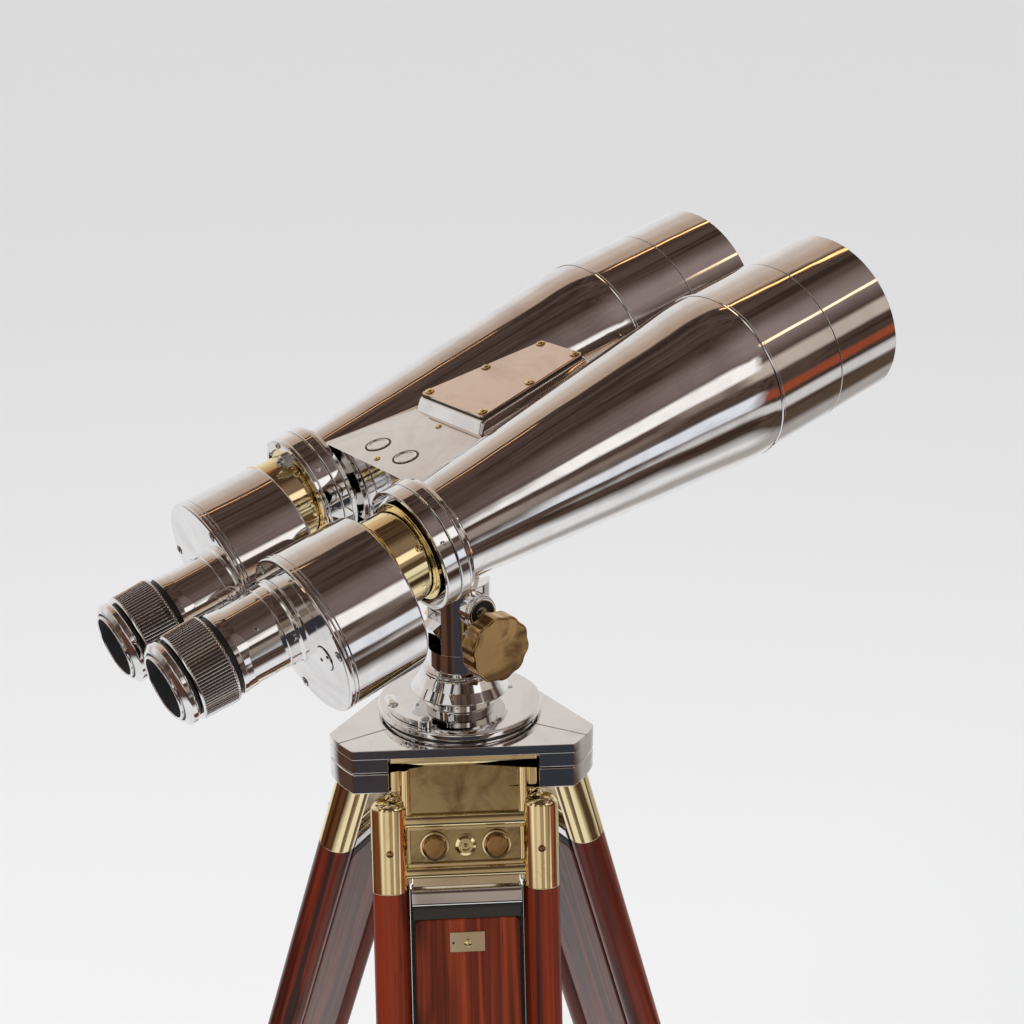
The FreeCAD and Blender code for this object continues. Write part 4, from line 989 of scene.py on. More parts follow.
def make_bridge_fittings():
    """Six screws in the nameplate, two slotted plugs whose dark gaps and slots are painted shade, and two
    small brass screws.
    """
    pieces = []
    inset = PLATE_MARGIN + 4.5
    plate_top = TOP_LEVEL + BOSS_HEIGHT + PLATE_THICKNESS
    for row, share in enumerate((0.0, 0.5, 1.0)):
        x = BOSS_REAR + inset + share * (BOSS_FRONT - BOSS_REAR - 2 * inset)
        along = (x - BOSS_REAR) / (BOSS_FRONT - BOSS_REAR)
        half = BOSS_REAR_HALF + (BOSS_FRONT_HALF - BOSS_REAR_HALF) * along
        for column, y in enumerate((-half + inset, half - inset)):
            pieces.append(screw("plate_screw", 3.2, 2.0, binocular_frame, BRASS,
                                aimed(x, y, plate_top), 30 + 47 * row + 71 * column))
            pieces.append(lathe("washer", [(2.6, -0.1, 0), (3.7, -0.1, 0), (3.7, 0.25, 0.1),
                                           (2.6, 0.25, 0.1)],
                                binocular_frame, [OLD_BRASS], x, y, upright=True, segments=32))
            moved_mesh(pieces[-1], Matrix.Translation((0, 0, plate_top * MM)))
    for y in (-17.8, 17.8):
        # The outer black ring is painted shade in the gap round each plug; the black strip below is painted
        # shade in its slot.
        for points, finish in (([(7.9, -3.0, 0), (9.4, -3.0, 0), (9.4, 0.35, 0.3), (7.9, 0.35, 0.3)], BLACK),
                               ([(6.4, -3.0, 0), (8.0, -3.0, 0), (8.0, 0.75, 0.5), (6.4, 0.3, 0.4)], CHROME),
                               ([(0, -1.8, 0), (6.5, -1.8, 0), (6.5, -0.2, 0), (0, -1.2, 0)], OLD_BRASS)):
            ring = lathe("plug", points, binocular_frame, [finish], -18.0, y, upright=True, segments=64)
            pieces.append(moved_mesh(ring, Matrix.Translation((0, 0, TOP_LEVEL * MM))))
        outline, low, high = block((-22.6, -13.4), (y - 0.75, y + 0.75),
                                   (TOP_LEVEL - 1.6, TOP_LEVEL - 0.45), 0.5)
        pieces.append(slab("plug_slot", outline, low, high, binocular_frame, [BLACK], bevel=0.1, segments=1))
    for x in (-30.4, 21.5):
        pieces.append(screw("bridge_screw", 2.6, 1.3, binocular_frame, BRASS, aimed(x, 0, TOP_LEVEL), x * 3))
    return joined("bridge_fittings", pieces)


settle(make_bridge_fittings(), "binocular", ["bridge_screws"])


# ---- objective cells, hoods and lenses ----
def make_cell(side_name, side):
    y = side * HALF_SPACING
    start = BARREL_FRONT
    finish = start + CELL_LENGTH
    outer = FRONT_RADIUS
    inner = outer - 4.5
    # A black ring in the joint with the barrel: painted shade in the seam.
    groove = lathe("groove", [(start - 0.2, inner, 0), (start - 0.2, outer - 0.35, 0),
                              (start + 0.5, outer - 0.35, 0),
                              (start + 0.5, inner, 0)], binocular_frame, [BLACK], y, AXIS_RISE)
    shell = lathe(side_name + "_cell", [
        (start + 0.4, inner, 0), (start + 0.4, outer + 0.25, 0.2), (start + 1.0, outer + 0.8, 0.3),
        (start + 2.8, outer + 0.8, 0.5), (start + 3.6, outer + 0.05, 0.3),
        (finish - 0.35, HOOD_RADIUS - 0.05, 0.35),
        (finish - 0.35, inner, 0)], binocular_frame, [CHROME], y, AXIS_RISE, segments=160)
    lining = lathe("lining", [(start + 2, inner - 3, 0), (start + 2, inner - 0.1, 0),
                              (finish, inner - 0.1, 0),
                              (finish, inner - 0.5, 0), (start + 14, inner - 0.5, 0),
                              (start + 14, inner - 3, 0)],
                   binocular_frame, [SOOT], y, AXIS_RISE)
    ring = lathe("retaining", [(start + 28.2, inner - 3.2, 0.3), (start + 28.2, inner - 0.5, 0),
                               (start + 33, inner - 0.5, 0), (start + 33, inner - 2.6, 0.6)],
                 binocular_frame, [BLACK], y, AXIS_RISE)
    return joined(side_name + "_objective_ring", [shell, groove, lining, ring])


def make_hood(side_name, side):
    y = side * HALF_SPACING
    start = BARREL_FRONT + CELL_LENGTH
    finish = start + HOOD_LENGTH
    inner = HOOD_RADIUS - 2.2
    # A black ring in the joint with the cell: painted shade in the seam.
    groove = lathe("groove", [(start - 0.3, inner, 0), (start - 0.3, HOOD_RADIUS - 0.4, 0),
                              (start + 0.3, HOOD_RADIUS - 0.4, 0), (start + 0.3, inner, 0)],
                   binocular_frame, [BLACK], y, AXIS_RISE)
    shell = lathe(side_name + "_hood_tube", [
        (start + 0.2, inner, 0), (start + 0.2, HOOD_RADIUS, 0.35), (finish, HOOD_RADIUS, 0.9),
        (finish, inner, 0.9)],
        binocular_frame, [CHROME], y, AXIS_RISE, segments=160)
    lining = lathe("lining", [(start, inner - 0.5, 0), (start, inner - 0.05, 0),
                              (finish - 3, inner - 0.05, 0),
                              (finish - 3, inner - 0.5, 0)], binocular_frame, [SOOT], y, AXIS_RISE)
    return joined(side_name + "_sun_hood", [shell, groove, lining])


def make_rear_flange(side_name, side):
    """Flange with two bands and fine seams darkened with painted shade, a recess for the collar and a few
    small screws.
    """
    y = side * HALF_SPACING
    start = BARREL_REAR - FLANGE_LENGTH
    outer = FLANGE_RADIUS
    body = lathe("body", [
        (start, RECESS_RADIUS, 0.3), (start, outer, 0.9), (start + 10.2, outer + 0.1, 0.7),
        (start + 10.7, outer - 1.2, 0), (start + 11.2, outer + 0.5, 0.5), (start + 17.4, outer + 0.8, 0.7),
        (start + 17.9, outer - 1.0, 0), (start + 18.4, outer + 0.3, 0.6), (start + 21.5, outer - 0.6, 0.8),
        (BARREL_REAR, REAR_RADIUS + 2.4, 1.6), (BARREL_REAR + 1.6, REAR_RADIUS + 0.4, 0.6),
        (BARREL_REAR + 1.6, 29.05, 0), (start + RECESS_DEPTH, 29.05, 0),
        (start + RECESS_DEPTH, RECESS_RADIUS, 0)],
        binocular_frame, [CHROME], y, AXIS_RISE, segments=144)
    pieces = [body]
    # Black rings at the bottom of the two notches: painted shade in the seams.
    for x in (start + 10.7, start + 17.9):
        pieces.append(lathe("seam", [(x - 0.35, outer - 1.4, 0), (x - 0.35, outer - 0.55, 0),
                                     (x + 0.35, outer - 0.55, 0), (x + 0.35, outer - 1.4, 0)],
                            binocular_frame, [BLACK], y, AXIS_RISE))
    for index, angle in enumerate((52, 172, 292)):
        turn = math.radians(angle * side)
        out = Vector((0, -math.sin(turn), math.cos(turn)))
        where = Matrix.Translation(Vector((start + 5.2, y, AXIS_RISE)) * MM + out * (outer - 0.25) * MM)
        aim = Vector((0, 0, 1)).rotation_difference(out).to_matrix().to_4x4()
        pieces.append(screw("flange_screw", 2.0, 0.9, binocular_frame, CHROME, where @ aim, 40 * index))
    for angle in (20, 140, 260):
        turn = math.radians(angle * side)
        spot = aimed(start, y - math.sin(turn) * 41.0, AXIS_RISE + math.cos(turn) * 41.0, "-x")
        pieces.append(rod("pin", 1.1, 0.25, binocular_frame, SATIN, spot, 0.08, 20))
    return joined(side_name + "_flange_ring", pieces)


for side_name, side in SIDES:
    settle(make_cell(side_name, side), "binocular", [side_name + "_objective_cell"])
    settle(make_hood(side_name, side), "binocular", [side_name + "_hood"])
    settle(make_rear_flange(side_name, side), "binocular", [side_name + "_rear_flange"])
    frame["nodes"][side_name + "_objective_lens"].data.materials.clear()
    frame["nodes"][side_name + "_objective_lens"].data.materials.append(COATED)


# ---- swivel collars ----
def make_collar(side_name, side):
    """Brass collar with an engraved scale of plain lines, a lip and a brass screw."""
    y = side * HALF_SPACING
    lip_front = BARREL_REAR - FLANGE_LENGTH + 6
    lip_rear = lip_front - 7.0
    pieces = [lathe("collar", [
        (DRUM_FRONT - 0.5, 23, 0), (DRUM_FRONT - 0.5, COLLAR_RADIUS + 1.5, 0),
        (DRUM_FRONT + 1.5, COLLAR_RADIUS, 0.5),
        (lip_rear, COLLAR_RADIUS, 0.5), (lip_rear, COLLAR_LIP, 0.5), (lip_front, COLLAR_LIP, 0.5),
        (lip_front, 28.9, 0), (BARREL_REAR - 4, 28.9, 0.5), (BARREL_REAR - 4, 23, 0)],
        binocular_frame, [BRASS], y, AXIS_RISE, segments=128)]
    middle = (DRUM_FRONT + lip_rear) / 2
    for index in range(31):
        angle = -(96 + index * 2.6) if side < 0 else 96 + index * 2.6
        turn = math.radians(angle)
        out = Vector((0, math.sin(turn), math.cos(turn)))
        length = 6.5 if index % 5 == 0 else 3.6
        outline, low, high = block((middle + 7 - length, middle + 7), (-0.16, 0.16), (0, 0.06))
        tick = slab("tick", outline, low, high, binocular_frame, [BLACK], bevel=0, segments=1)
        aim = Matrix.Rotation(math.atan2(-out.y, out.z), 4, "X")
        where = Matrix.Translation(Vector((0, y, AXIS_RISE)) * MM) @ aim
        pieces.append(moved_mesh(tick, where @ Matrix.Translation((0, 0, COLLAR_RADIUS * MM))))
    for angle, radius in ((62, 2.6), (96, 1.5), (208, 2.6), (320, 2.6)):
        turn = math.radians(angle)
        out = Vector((0, -side * -math.sin(turn), math.cos(turn)))
        level = COLLAR_RADIUS if radius > 2 else COLLAR_LIP
        x = lip_rear - 4.6 if radius > 2 else lip_rear + 1.6
        aim = Vector((0, 0, 1)).rotation_difference(out).to_matrix().to_4x4()
        where = Matrix.Translation(Vector((x, y, AXIS_RISE)) * MM + out * (level - 0.3) * MM)
        pieces.append(screw("collar_screw", radius, 1.5, binocular_frame, BRASS, where @ aim, angle))
    return joined(side_name + "_scale_collar", pieces)


# ---- prism drums and covers ----
def drum_centre(side):
    return side * (HALF_SPACING - DRUM_INWARD), AXIS_RISE - DRUM_DOWN


def eye_centre(side):
    return side * (HALF_SPACING - EYE_INWARD), AXIS_RISE - EYE_DOWN


def make_drum(side_name, side):
    y, z = drum_centre(side)
    rear = DRUM_FRONT - DRUM_LENGTH
    shell = lathe("shell", [(rear + 0.3, DRUM_RADIUS - 5, 0), (rear + 0.3, DRUM_RADIUS, 0.4),
                            (DRUM_FRONT, DRUM_RADIUS, 2.2),
                            (DRUM_FRONT, 0, 0), (DRUM_FRONT - 4, 0, 0), (DRUM_FRONT - 4, DRUM_RADIUS - 5, 0)],
                  binocular_frame, [NICKEL], y, z, segments=160)
    # A black ring at the drum's rear joint with the cover: painted shade in the seam.
    groove = lathe("groove", [(rear - 0.2, DRUM_RADIUS - 6, 0), (rear - 0.2, DRUM_RADIUS - 0.8, 0),
                              (rear + 0.5, DRUM_RADIUS - 0.8, 0), (rear + 0.5, DRUM_RADIUS - 6, 0)],
                   binocular_frame, [BLACK], y, z)
    return joined(side_name + "_drum", [shell, groove])


def make_cover(side_name, side):
    """Drum cover with a double ring at its rim, a rounded rim edge and a flat face."""
    y, z = drum_centre(side)
    front = DRUM_FRONT - DRUM_LENGTH
    outer = DRUM_RADIUS + 0.3
    rear = COVER_FACE
    disc = lathe(side_name + "_cover", [
        (front - 0.1, 0, 0), (front - 0.1, outer, 0.5), (front - 2.2, outer, 0.5),
        (front - 2.6, outer - 0.9, 0),
        (front - 3.0, outer, 0.5), (rear + 0.4, outer - 0.1, 1.5), (rear, outer - 2.6, 0.6), (rear, 0, 0)],
        binocular_frame, [NICKEL], y, z, segments=160)
    return disc


def make_cover_screws(side_name, side):
    y, z = drum_centre(side)
    pieces = []
    for index, angle in enumerate((5, 125, 245)):
        turn = math.radians(angle)
        spot = aimed(COVER_FACE, y + side * 49.0 * math.cos(turn), z + 49.0 * math.sin(turn), "-x")
        pieces.append(screw("cover_screw", 2.9, 1.0, binocular_frame, SATIN, spot, 35 + 60 * index))
        # A thin black ring round each screw head: painted shade in the gap.
        pieces.append(moved_mesh(lathe("shade", [(2.8, 0, 0), (3.5, 0, 0), (3.5, 0.12, 0), (2.8, 0.12, 0)],
                                       binocular_frame, [BLACK], upright=True, segments=28), spot))
    cap_y, cap_z = y + side * 27.4, z - 5.6
    cap = aimed(COVER_FACE, cap_y, cap_z, "-x")
    pieces.append(moved_mesh(lathe("cap", [(0, 0, 0), (8.2, 0, 0), (8.2, 0.8, 0.3), (0, 0.8, 0)],
                                   binocular_frame,
                                   [CHROME], upright=True, segments=48), cap))
    # A black ring round the cap: painted shade in its gap.
    pieces.append(moved_mesh(lathe("cap_gap", [(8.1, 0, 0), (8.9, 0, 0), (8.9, 0.1, 0), (8.1, 0.1, 0)],
                                   binocular_frame, [BLACK], upright=True, segments=48), cap))
    for step in (-1, 1):
        spot = aimed(COVER_FACE - 0.8, cap_y + step * 5.2, cap_z - step * 3.0, "-x")
        pieces.append(rod("cap_pin", 1.2, 0.3, binocular_frame, BLACK, spot, 0.1, 20))
    return joined(side_name + "_cover_screw_set", pieces)


# ---- eyepieces ----
def make_eyepiece_tube(side_name, side):
    """Flared foot, plain tube with two small screws, scalloped bracket, band and inner sleeve."""
    y, z = eye_centre(side)
    tube_end = SLEEVE_START - 14.3
    foot = lathe("foot", [
        (COVER_FACE + 0.2, 19, 0), (COVER_FACE + 0.2, TUBE_FLANGE, 0), (COVER_FACE - 1.6, TUBE_FLANGE, 0.7),
        (COVER_FACE - 2.2, TUBE_FLANGE - 0.9, 0.4), (COVER_FACE - 3.4, TUBE_RADIUS + 1.0, 0.8),
        (COVER_FACE - 10.5, TUBE_RADIUS + 0.75, 0.4), (COVER_FACE - 11.0, TUBE_RADIUS, 0),
        (BAND_START - 4.5, TUBE_RADIUS - 0.5, 0), (BAND_START - 4.5, 19, 0)],
        binocular_frame, [CHROME], y, z, segments=128)
    sleeve = lathe("sleeve", [(SLEEVE_START + 1, 20, 0), (SLEEVE_START + 1, 26.9, 0), (tube_end, 26.9, 0.5),
                              (tube_end, 20, 0)], binocular_frame, [BLACK], y, z, segments=96)
    bracket = scalloped_band(side, y, z)
    pieces = [foot, sleeve, bracket]
    for x, angle in ((COVER_FACE - 12.5, 12), (BAND_START + 9.5, 52), (BAND_START + 9.5, 172)):
        turn = math.radians(angle)
        out = Vector((0, side * math.sin(turn), math.cos(turn)))
        aim = Vector((0, 0, 1)).rotation_difference(out).to_matrix().to_4x4()
        where = Matrix.Translation(Vector((x, y, z)) * MM + out * (TUBE_RADIUS - 0.35) * MM)
        pieces.append(screw("tube_screw", 1.7, 0.7, binocular_frame, SATIN, where @ aim, angle))
    return joined(side_name + "_eyepiece_body", pieces)


def scalloped_band(side, y, z):
    """Band whose front edge is cut in broad scallops, with a small step at the rear."""
    segments = 180
    rear = SLEEVE_START
    rows = []
    levels = ((0.0, 24.0), (0.0, BAND_RADIUS - 0.25), (0.25, BAND_RADIUS), (3.0, BAND_RADIUS + 0.1),
              (3.4, BAND_RADIUS - 0.45), (3.9, BAND_RADIUS - 0.35), (None, BAND_RADIUS - 0.35),
              (None, TUBE_RADIUS - 0.8))
    for level, radius in levels:
        row = []
        for index in range(segments):
            turn = 2 * math.pi * index / segments
            wave = 0.5 + 0.5 * math.cos(turn * 5 + 0.9)
            reach = BAND_LENGTH - 3.2 * (1 - wave ** 3) if level is None else level
            drop = 0.25 if level is None else 0.0
            out = Vector((0, -math.sin(turn), math.cos(turn)))
            row.append(Vector((rear + reach, y, z)) + out * (radius - drop))
        rows.append(row)
    bm = bmesh.new()
    grid = [[bm.verts.new(point * MM) for point in row] for row in rows]
    for r in range(len(rows) - 1):
        for c in range(segments):
            k = (c + 1) % segments
            bm.faces.new((grid[r][c], grid[r][k], grid[r + 1][k], grid[r + 1][c]))
    bmesh.ops.recalc_face_normals(bm, faces=bm.faces)
    for edge in bm.edges:
        if len(edge.link_faces) == 2 and edge.calc_face_angle() > math.radians(28):
            edge.smooth = False
    return finished("band", bm, binocular_frame, [CHROME], 0)


def make_focus_ring(side_name, side):
    """Focus ring with fine straight ribs and plain bevelled ends."""
    y, z = eye_centre(side)
    ribs = 84
    rib_steps = (0.0, 0.0, -0.42, -0.6, -0.6, -0.42)
    per_rib = len(rib_steps)
    bm = bmesh.new()
    stations = ((RING_START, -2.0, 0), (RING_START, -0.5, 0), (RING_START - 0.5, -0.05, 0),
                (RING_START - 1.1, -0.05, 0),
                (RING_START - 1.6, 0, 1), (RING_END + 1.8, 0, 1), (RING_END + 1.3, -0.05, 0),
                (RING_END + 0.7, -0.1, 0), (RING_END, -0.8, 0), (RING_END, -4.5, 0))
    grid = []
    for x, drop, ribbed in stations:
        share = (RING_START - x) / RING_LENGTH
        base = RING_FRONT + (RING_REAR - RING_FRONT) * share + drop
        row = []
        for index in range(ribs * per_rib):
            turn = 2 * math.pi * index / (ribs * per_rib)
            rise = rib_steps[index % per_rib] * ribbed
            out = Vector((0, -math.sin(turn), math.cos(turn)))
            row.append(bm.verts.new((Vector((x, y, z)) + out * (base + rise)) * MM))
        grid.append(row)
    count = ribs * per_rib
    for r in range(len(grid) - 1):
        for c in range(count):
            k = (c + 1) % count
            wall = bm.faces.new((grid[r][c], grid[r][k], grid[r + 1][k], grid[r + 1][c]))
            if stations[r][2] and stations[r + 1][2] and c % per_rib in (2, 3, 4):
                wall.material_index = 1
    bmesh.ops.recalc_face_normals(bm, faces=bm.faces)
    for edge in bm.edges:
        if len(edge.link_faces) == 2 and edge.calc_face_angle() > math.radians(40):
            edge.smooth = False
    ring = finished("ribs", bm, binocular_frame, [CHROME, BLACK], 0)
    inside = lathe("inside", [(RING_START + 0.02, 27.3, 0), (RING_START + 0.02, 29.9, 0),
                              (RING_START - 1, 29.9, 0),
                              (RING_START - 1, 27.3, 0)], binocular_frame, [BLACK], y, z, segments=96)
    web = lathe("web", [(RING_END + 5.5, 22.2, 0), (RING_END + 5.5, 26, 0), (RING_END + 0.05, 26, 0),
                        (RING_END + 0.05, 22.2, 0)], binocular_frame, [BLACK], y, z, segments=96)
    return joined(side_name + "_ribbed_ring", [ring, inside, web])


def make_eyecup(side_name, side):
    """Eyecup: black neck, polished lip, dark step, and a bright inner rim round the lens."""
    y, z = eye_centre(side)
    bore = 19.1
    neck = lathe("neck", [(SLEEVE_START - RING_GAP - 2, bore, 0), (SLEEVE_START - RING_GAP - 2, 21.9, 0),
                          (RING_END - 0.3, 21.9, 0), (RING_END - 0.3, 25.6, 0.4), (CUP_START - 0.1, 25.6, 0),
                          (CUP_START - 0.1, bore, 0)], binocular_frame, [BLACK], y, z, segments=96)
    lip = lathe("lip", [
        (CUP_START, 23.5, 0), (CUP_START, CUP_RADIUS - 0.9, 0.5), (CUP_START - 1.3, CUP_RADIUS, 0.6),
        (CUP_START - 4.6, CUP_RADIUS, 1.7), (CUP_START - 7.4, CUP_RADIUS - 3.6, 1.4),
        (CUP_START - 7.6, CUP_RADIUS - 5.2, 0.6), (CUP_START - 5.0, 23.5, 0)],
        binocular_frame, [CHROME], y, z, segments=128)
    step = lathe("step", [(CUP_START - 1, 21.4, 0), (CUP_START - 1, 24.0, 0), (CUP_START - 6.4, 24.0, 0),
                          (CUP_START - 6.4, 21.4, 0)], binocular_frame, [BLACK], y, z, segments=96)
    rim = lathe("rim", [(CUP_END + 6, EYE_OPENING, 0), (CUP_END + 6, EYE_OPENING + 1.9, 0),
                        (CUP_END, EYE_OPENING + 1.9, 0.8), (CUP_END, EYE_OPENING, 0.7)],
                binocular_frame, [CHROME], y, z, segments=128)
    funnel = lathe("funnel", [(CUP_END + 1.0, EYE_OPENING + 0.02, 0), (CUP_END + 1.0, EYE_OPENING + 1.0, 0),
                              (CUP_END + 9.5, EYE_OPENING + 1.0, 0), (CUP_END + 9.5, 17.9, 0),
                              (CUP_END + 8, 17.9, 0)],
                   binocular_frame, [SOOT], y, z, segments=96)
    well = lathe("well", [(CUP_END + 16, 0, 0), (CUP_END + 16, bore, 0), (CUP_END + 17, bore, 0),
                          (CUP_END + 17, 0, 0)],
                 binocular_frame, [SOOT], y, z, segments=64)
    return joined(side_name + "_eyecup_set", [neck, lip, step, rim, funnel, well])


for side_name, side in SIDES:
    arm = side_name + "_prism_unit"
    settle(make_collar(side_name, side), arm, [side_name + "_swivel_collar"])
    settle(make_drum(side_name, side), arm, [side_name + "_prism_drum"])
    settle(make_cover(side_name, side), arm, [side_name + "_prism_cover"])
    settle(make_cover_screws(side_name, side), arm, [side_name + "_cover_screws"])
    settle(make_eyepiece_tube(side_name, side), arm, [side_name + "_eyepiece_tube"])
    settle(make_focus_ring(side_name, side), side_name + "_focus_ring",
           [side_name + "_focus_ring"])
    settle(make_eyecup(side_name, side), side_name + "_ocular", [side_name + "_eyecup"])
    for node, finish in (("_eye_lens", EYE_GLASS), ("_prisms", COATED)):
        frame["nodes"][side_name + node].data.materials.clear()
        frame["nodes"][side_name + node].data.materials.append(finish)


# ---- clamp on the left flange ----
def make_swivel_clamp():
    """Curved strap with a knurled nut near the top and a small locking screw, on the left flange."""
    rear = BARREL_REAR - FLANGE_LENGTH
    inner = COLLAR_LIP + 0.7
    outer = FLANGE_RADIUS - 0.4
    centre = Vector((0, HALF_SPACING, AXIS_RISE))
    steps = 48
    first, last = -38.0, 112.0
    bm = bmesh.new()
    rows = []
    for index in range(steps + 1):
        turn = math.radians(first + (last - first) * index / steps)
        out = Vector((0, -math.sin(turn), math.cos(turn)))
        ring = []
        for x, radius in ((rear + 0.1, inner), (rear + 0.1, outer), (rear - 3.0, outer), (rear - 3.0, inner)):
            ring.append(bm.verts.new((centre + Vector((x, 0, 0)) + out * radius) * MM))
        rows.append(ring)
    for index in range(steps):
        for c in range(4):
            k = (c + 1) % 4
            bm.faces.new((rows[index][c], rows[index][k], rows[index + 1][k], rows[index + 1][c]))
    bm.faces.new(rows[0])
    bm.faces.new(rows[-1][::-1])
    bmesh.ops.recalc_face_normals(bm, faces=bm.faces)
    pieces = [finished("strap", bm, binocular_frame, [CHROME], 0.7)]
    middle = (inner + outer) / 2

    def spot(angle, x, towards="-x"):
        turn = math.radians(angle)
        return aimed(x, centre.y - math.sin(turn) * middle, centre.z + math.cos(turn) * middle, towards)

    nut_place = spot(25, rear - 3.0)
    pieces.append(rod("stud", 2.4, 13, binocular_frame, SATIN, nut_place, 0.6, 32))
    pieces.append(knurled_nut("nut", 5.4, 8.5, nut_place @ Matrix.Translation((0, 0, 2.2 * MM))))
    pieces.append(screw("strap_screw", 2.4, 1.6, binocular_frame, CHROME, spot(-5, rear - 3.0), 20))
    for angle in (68, 104):
        pieces.append(screw("strap_screw", 1.8, 1.0, binocular_frame, BRASS, spot(angle, rear - 3.0), angle))
    return joined("swivel_strap", pieces)


def knurled_nut(name, radius, length, where):
    """Small round nut with fine straight knurling and a plain collar."""
    teeth = 28
    bm = bmesh.new()
    levels = ((0, radius - 1.4, 0), (0, radius - 0.4, 0), (0.5, radius, 1), (length - 2.6, radius, 1),
              (length - 2.2, radius - 0.5, 0), (length - 1.6, radius - 1.2, 0),
              (length - 0.4, radius - 1.2, 0),
              (length, radius - 1.7, 0), (length, 0.6, 0))
    grid = []
    for level, reach, cut in levels:
        row = []
        for index in range(teeth * 4):
            turn = 2 * math.pi * index / (teeth * 4)
            wave = (0.0, 0.16, 0.5, 0.16)[index % 4] * cut
            row.append(bm.verts.new(Vector(((reach - wave) * math.cos(turn), (reach - wave) * math.sin(turn),
                                            level)) * MM))
        grid.append(row)
    for r in range(len(grid) - 1):
        for c in range(teeth * 4):
            k = (c + 1) % (teeth * 4)
            bm.faces.new((grid[r][c], grid[r][k], grid[r + 1][k], grid[r + 1][c]))
    bm.faces.new(grid[-1])
    bm.faces.new(grid[0][::-1])
    for edge in bm.edges:
        if len(edge.link_faces) == 2 and edge.calc_face_angle() > math.radians(35):
            edge.smooth = False
    return moved_mesh(finished(name, bm, binocular_frame, [SATIN], 0), where)


settle(make_swivel_clamp(), "binocular", ["swivel_clamp"])


# ---- column, tilt pin and knob ----
def make_column():
    """Stepped cone foot and round column with side pads; the top is slotted for the saddle's tang."""
    low = 8.4
    shaft = lathe("shaft", [(0, 20, 0), (COLUMN_RADIUS, 24.0, 0), (COLUMN_RADIUS, PIVOT_HEIGHT - 35, 0),
                            (0, PIVOT_HEIGHT - 35, 0)], column_frame, [CHROME], upright=True, segments=144)
    cone = lathe("cone", [
        (0, low, 0), (33.5, low, 0), (36.0, low + 1.4, 0.8), (36.0, low + 2.4, 0.6), (31.6, low + 9, 5.0),
        (28.2, low + 15.6, 1.5), (27.6, low + 16.4, 0.3), (27.6, low + 17.8, 0.4), (26.6, low + 18.3, 0.3),
        (26.6, low + 19.4, 0.4), (23.4, low + 20.4, 0.6), (0, low + 20.4, 0)],
        column_frame, [CHROME], upright=True, segments=144)
    pieces = [shaft, cone]
    slot = 8.3
    top = PIVOT_HEIGHT + 17.0
    for side in (-1, 1):
        outline = []
        for index in range(73):
            turn = math.acos(slot / COLUMN_RADIUS) * (2 * index / 72 - 1)
            outline.append((COLUMN_RADIUS * math.sin(turn), side * COLUMN_RADIUS * math.cos(turn), 0))
        ear = slab("ear", outline, PIVOT_HEIGHT - 35.2, top, column_frame, [CHROME], bevel=0.6, segments=3,
                   steps=1)
        pieces.append(ear)
        aim = "y" if side > 0 else "-y"
        pieces.append(rod("pivot_pad", 13.0, PAD_REACH - 9, column_frame, CHROME,
                          aimed(0, side * 9.0, PIVOT_HEIGHT, aim), 1.2, 72))
        pieces.append(rod("clamp_pad", 10.5, PAD_REACH - 9, column_frame, CHROME,
                          aimed(0, side * 9.0, PIVOT_HEIGHT - CLAMP_DROP, aim), 1.2, 72))
    spindle = lathe("spindle", [(0, -59, 0), (18, -59, 1), (18, 10, 0), (0, 10, 0)], column_frame, [SATIN],
                    upright=True)
    pieces.append(spindle)
    nut_outline = [(27.0 * math.cos(math.radians(60 * i)), 27.0 * math.sin(math.radians(60 * i)), 2.0)
                   for i in range(6)]
    pieces.append(slab("spindle_nut", nut_outline, LOWER_BOTTOM - 12.3, LOWER_BOTTOM - 0.3, column_frame,
                       [SATIN],
                       bevel=1.2))
    return joined("column_and_foot", pieces)


def make_tilt_pin():
    """Pivot caps: a bright rim round a dark hollow with a slotted pin end."""
    pieces = []
    for side in (-1, 1):
        where = aimed(0, side * PAD_REACH, PIVOT_HEIGHT, "y" if side > 0 else "-y")
        pieces.append(moved_mesh(lathe("cap", [(9.2, 0, 0), (12.0, 0, 0), (12.0, 2.8, 1.2), (9.2, 2.8, 0.9)],
                                       column_frame, [CHROME], upright=True, segments=64), where))
        pieces.append(moved_mesh(lathe("hollow", [(0, 0, 0), (9.4, 0, 0), (9.4, 1.5, 0), (0, 1.9, 0)],
                                       column_frame, [BLACK], upright=True, segments=64), where))
        pieces.append(moved_mesh(screw("pin_end", 4.4, 0.9, column_frame, SATIN,
                                       Matrix.Translation((0, 0, 1.7 * MM)), 25), where))
    return joined("tilt_pin_caps", pieces)


def make_tilt_knob():
    """Ten-lobed brass knob with a flat brown face, its neck, screw and the nut on the far side."""
    level = PIVOT_HEIGHT - CLAMP_DROP
    neck_start = PAD_REACH + 0.3
    face = neck_start + 10.2
    turned_to_face = aimed(0, -face, level, "-y", turn=9)
    knob = lobed("knob", 25.0, 15.0, 10, 1.3, column_frame, [OLD_BRASS], turned_to_face, bevel=1.8)
    neck = rod("neck", 7.5, 10.4, column_frame, OLD_BRASS, aimed(0, -neck_start, level, "-y"), 0.5, 48)
    collar = moved_mesh(lathe("collar", [(0, -3.2, 0), (13, -3.2, 0), (15.5, -1.2, 1), (15.5, 0.2, 0),
                                         (0, 0.2, 0)],
                              column_frame, [OLD_BRASS], upright=True, segments=64), turned_to_face)
    shank = rod("shank", 5.0, 66, column_frame, SATIN, aimed(0, PAD_REACH + 9, level, "-y"), 0.5, 32)
    outline = [(7.6 * math.cos(math.radians(60 * i)), 7.6 * math.sin(math.radians(60 * i)),
                0.6) for i in range(6)]
    nut = moved_mesh(slab("nut", outline, 0, 7.0, column_frame, [BRASS], bevel=0.5),
                     aimed(0, PAD_REACH + 0.3, level, "y"))
    return joined("tilt_clamp_knob", [knob, neck, collar, shank, nut])


settle(make_column(), "column", ["column"])
settle(make_tilt_pin(), "column", ["tilt_pin"])
settle(make_tilt_knob(), "tilt_knob", ["tilt_knob"])


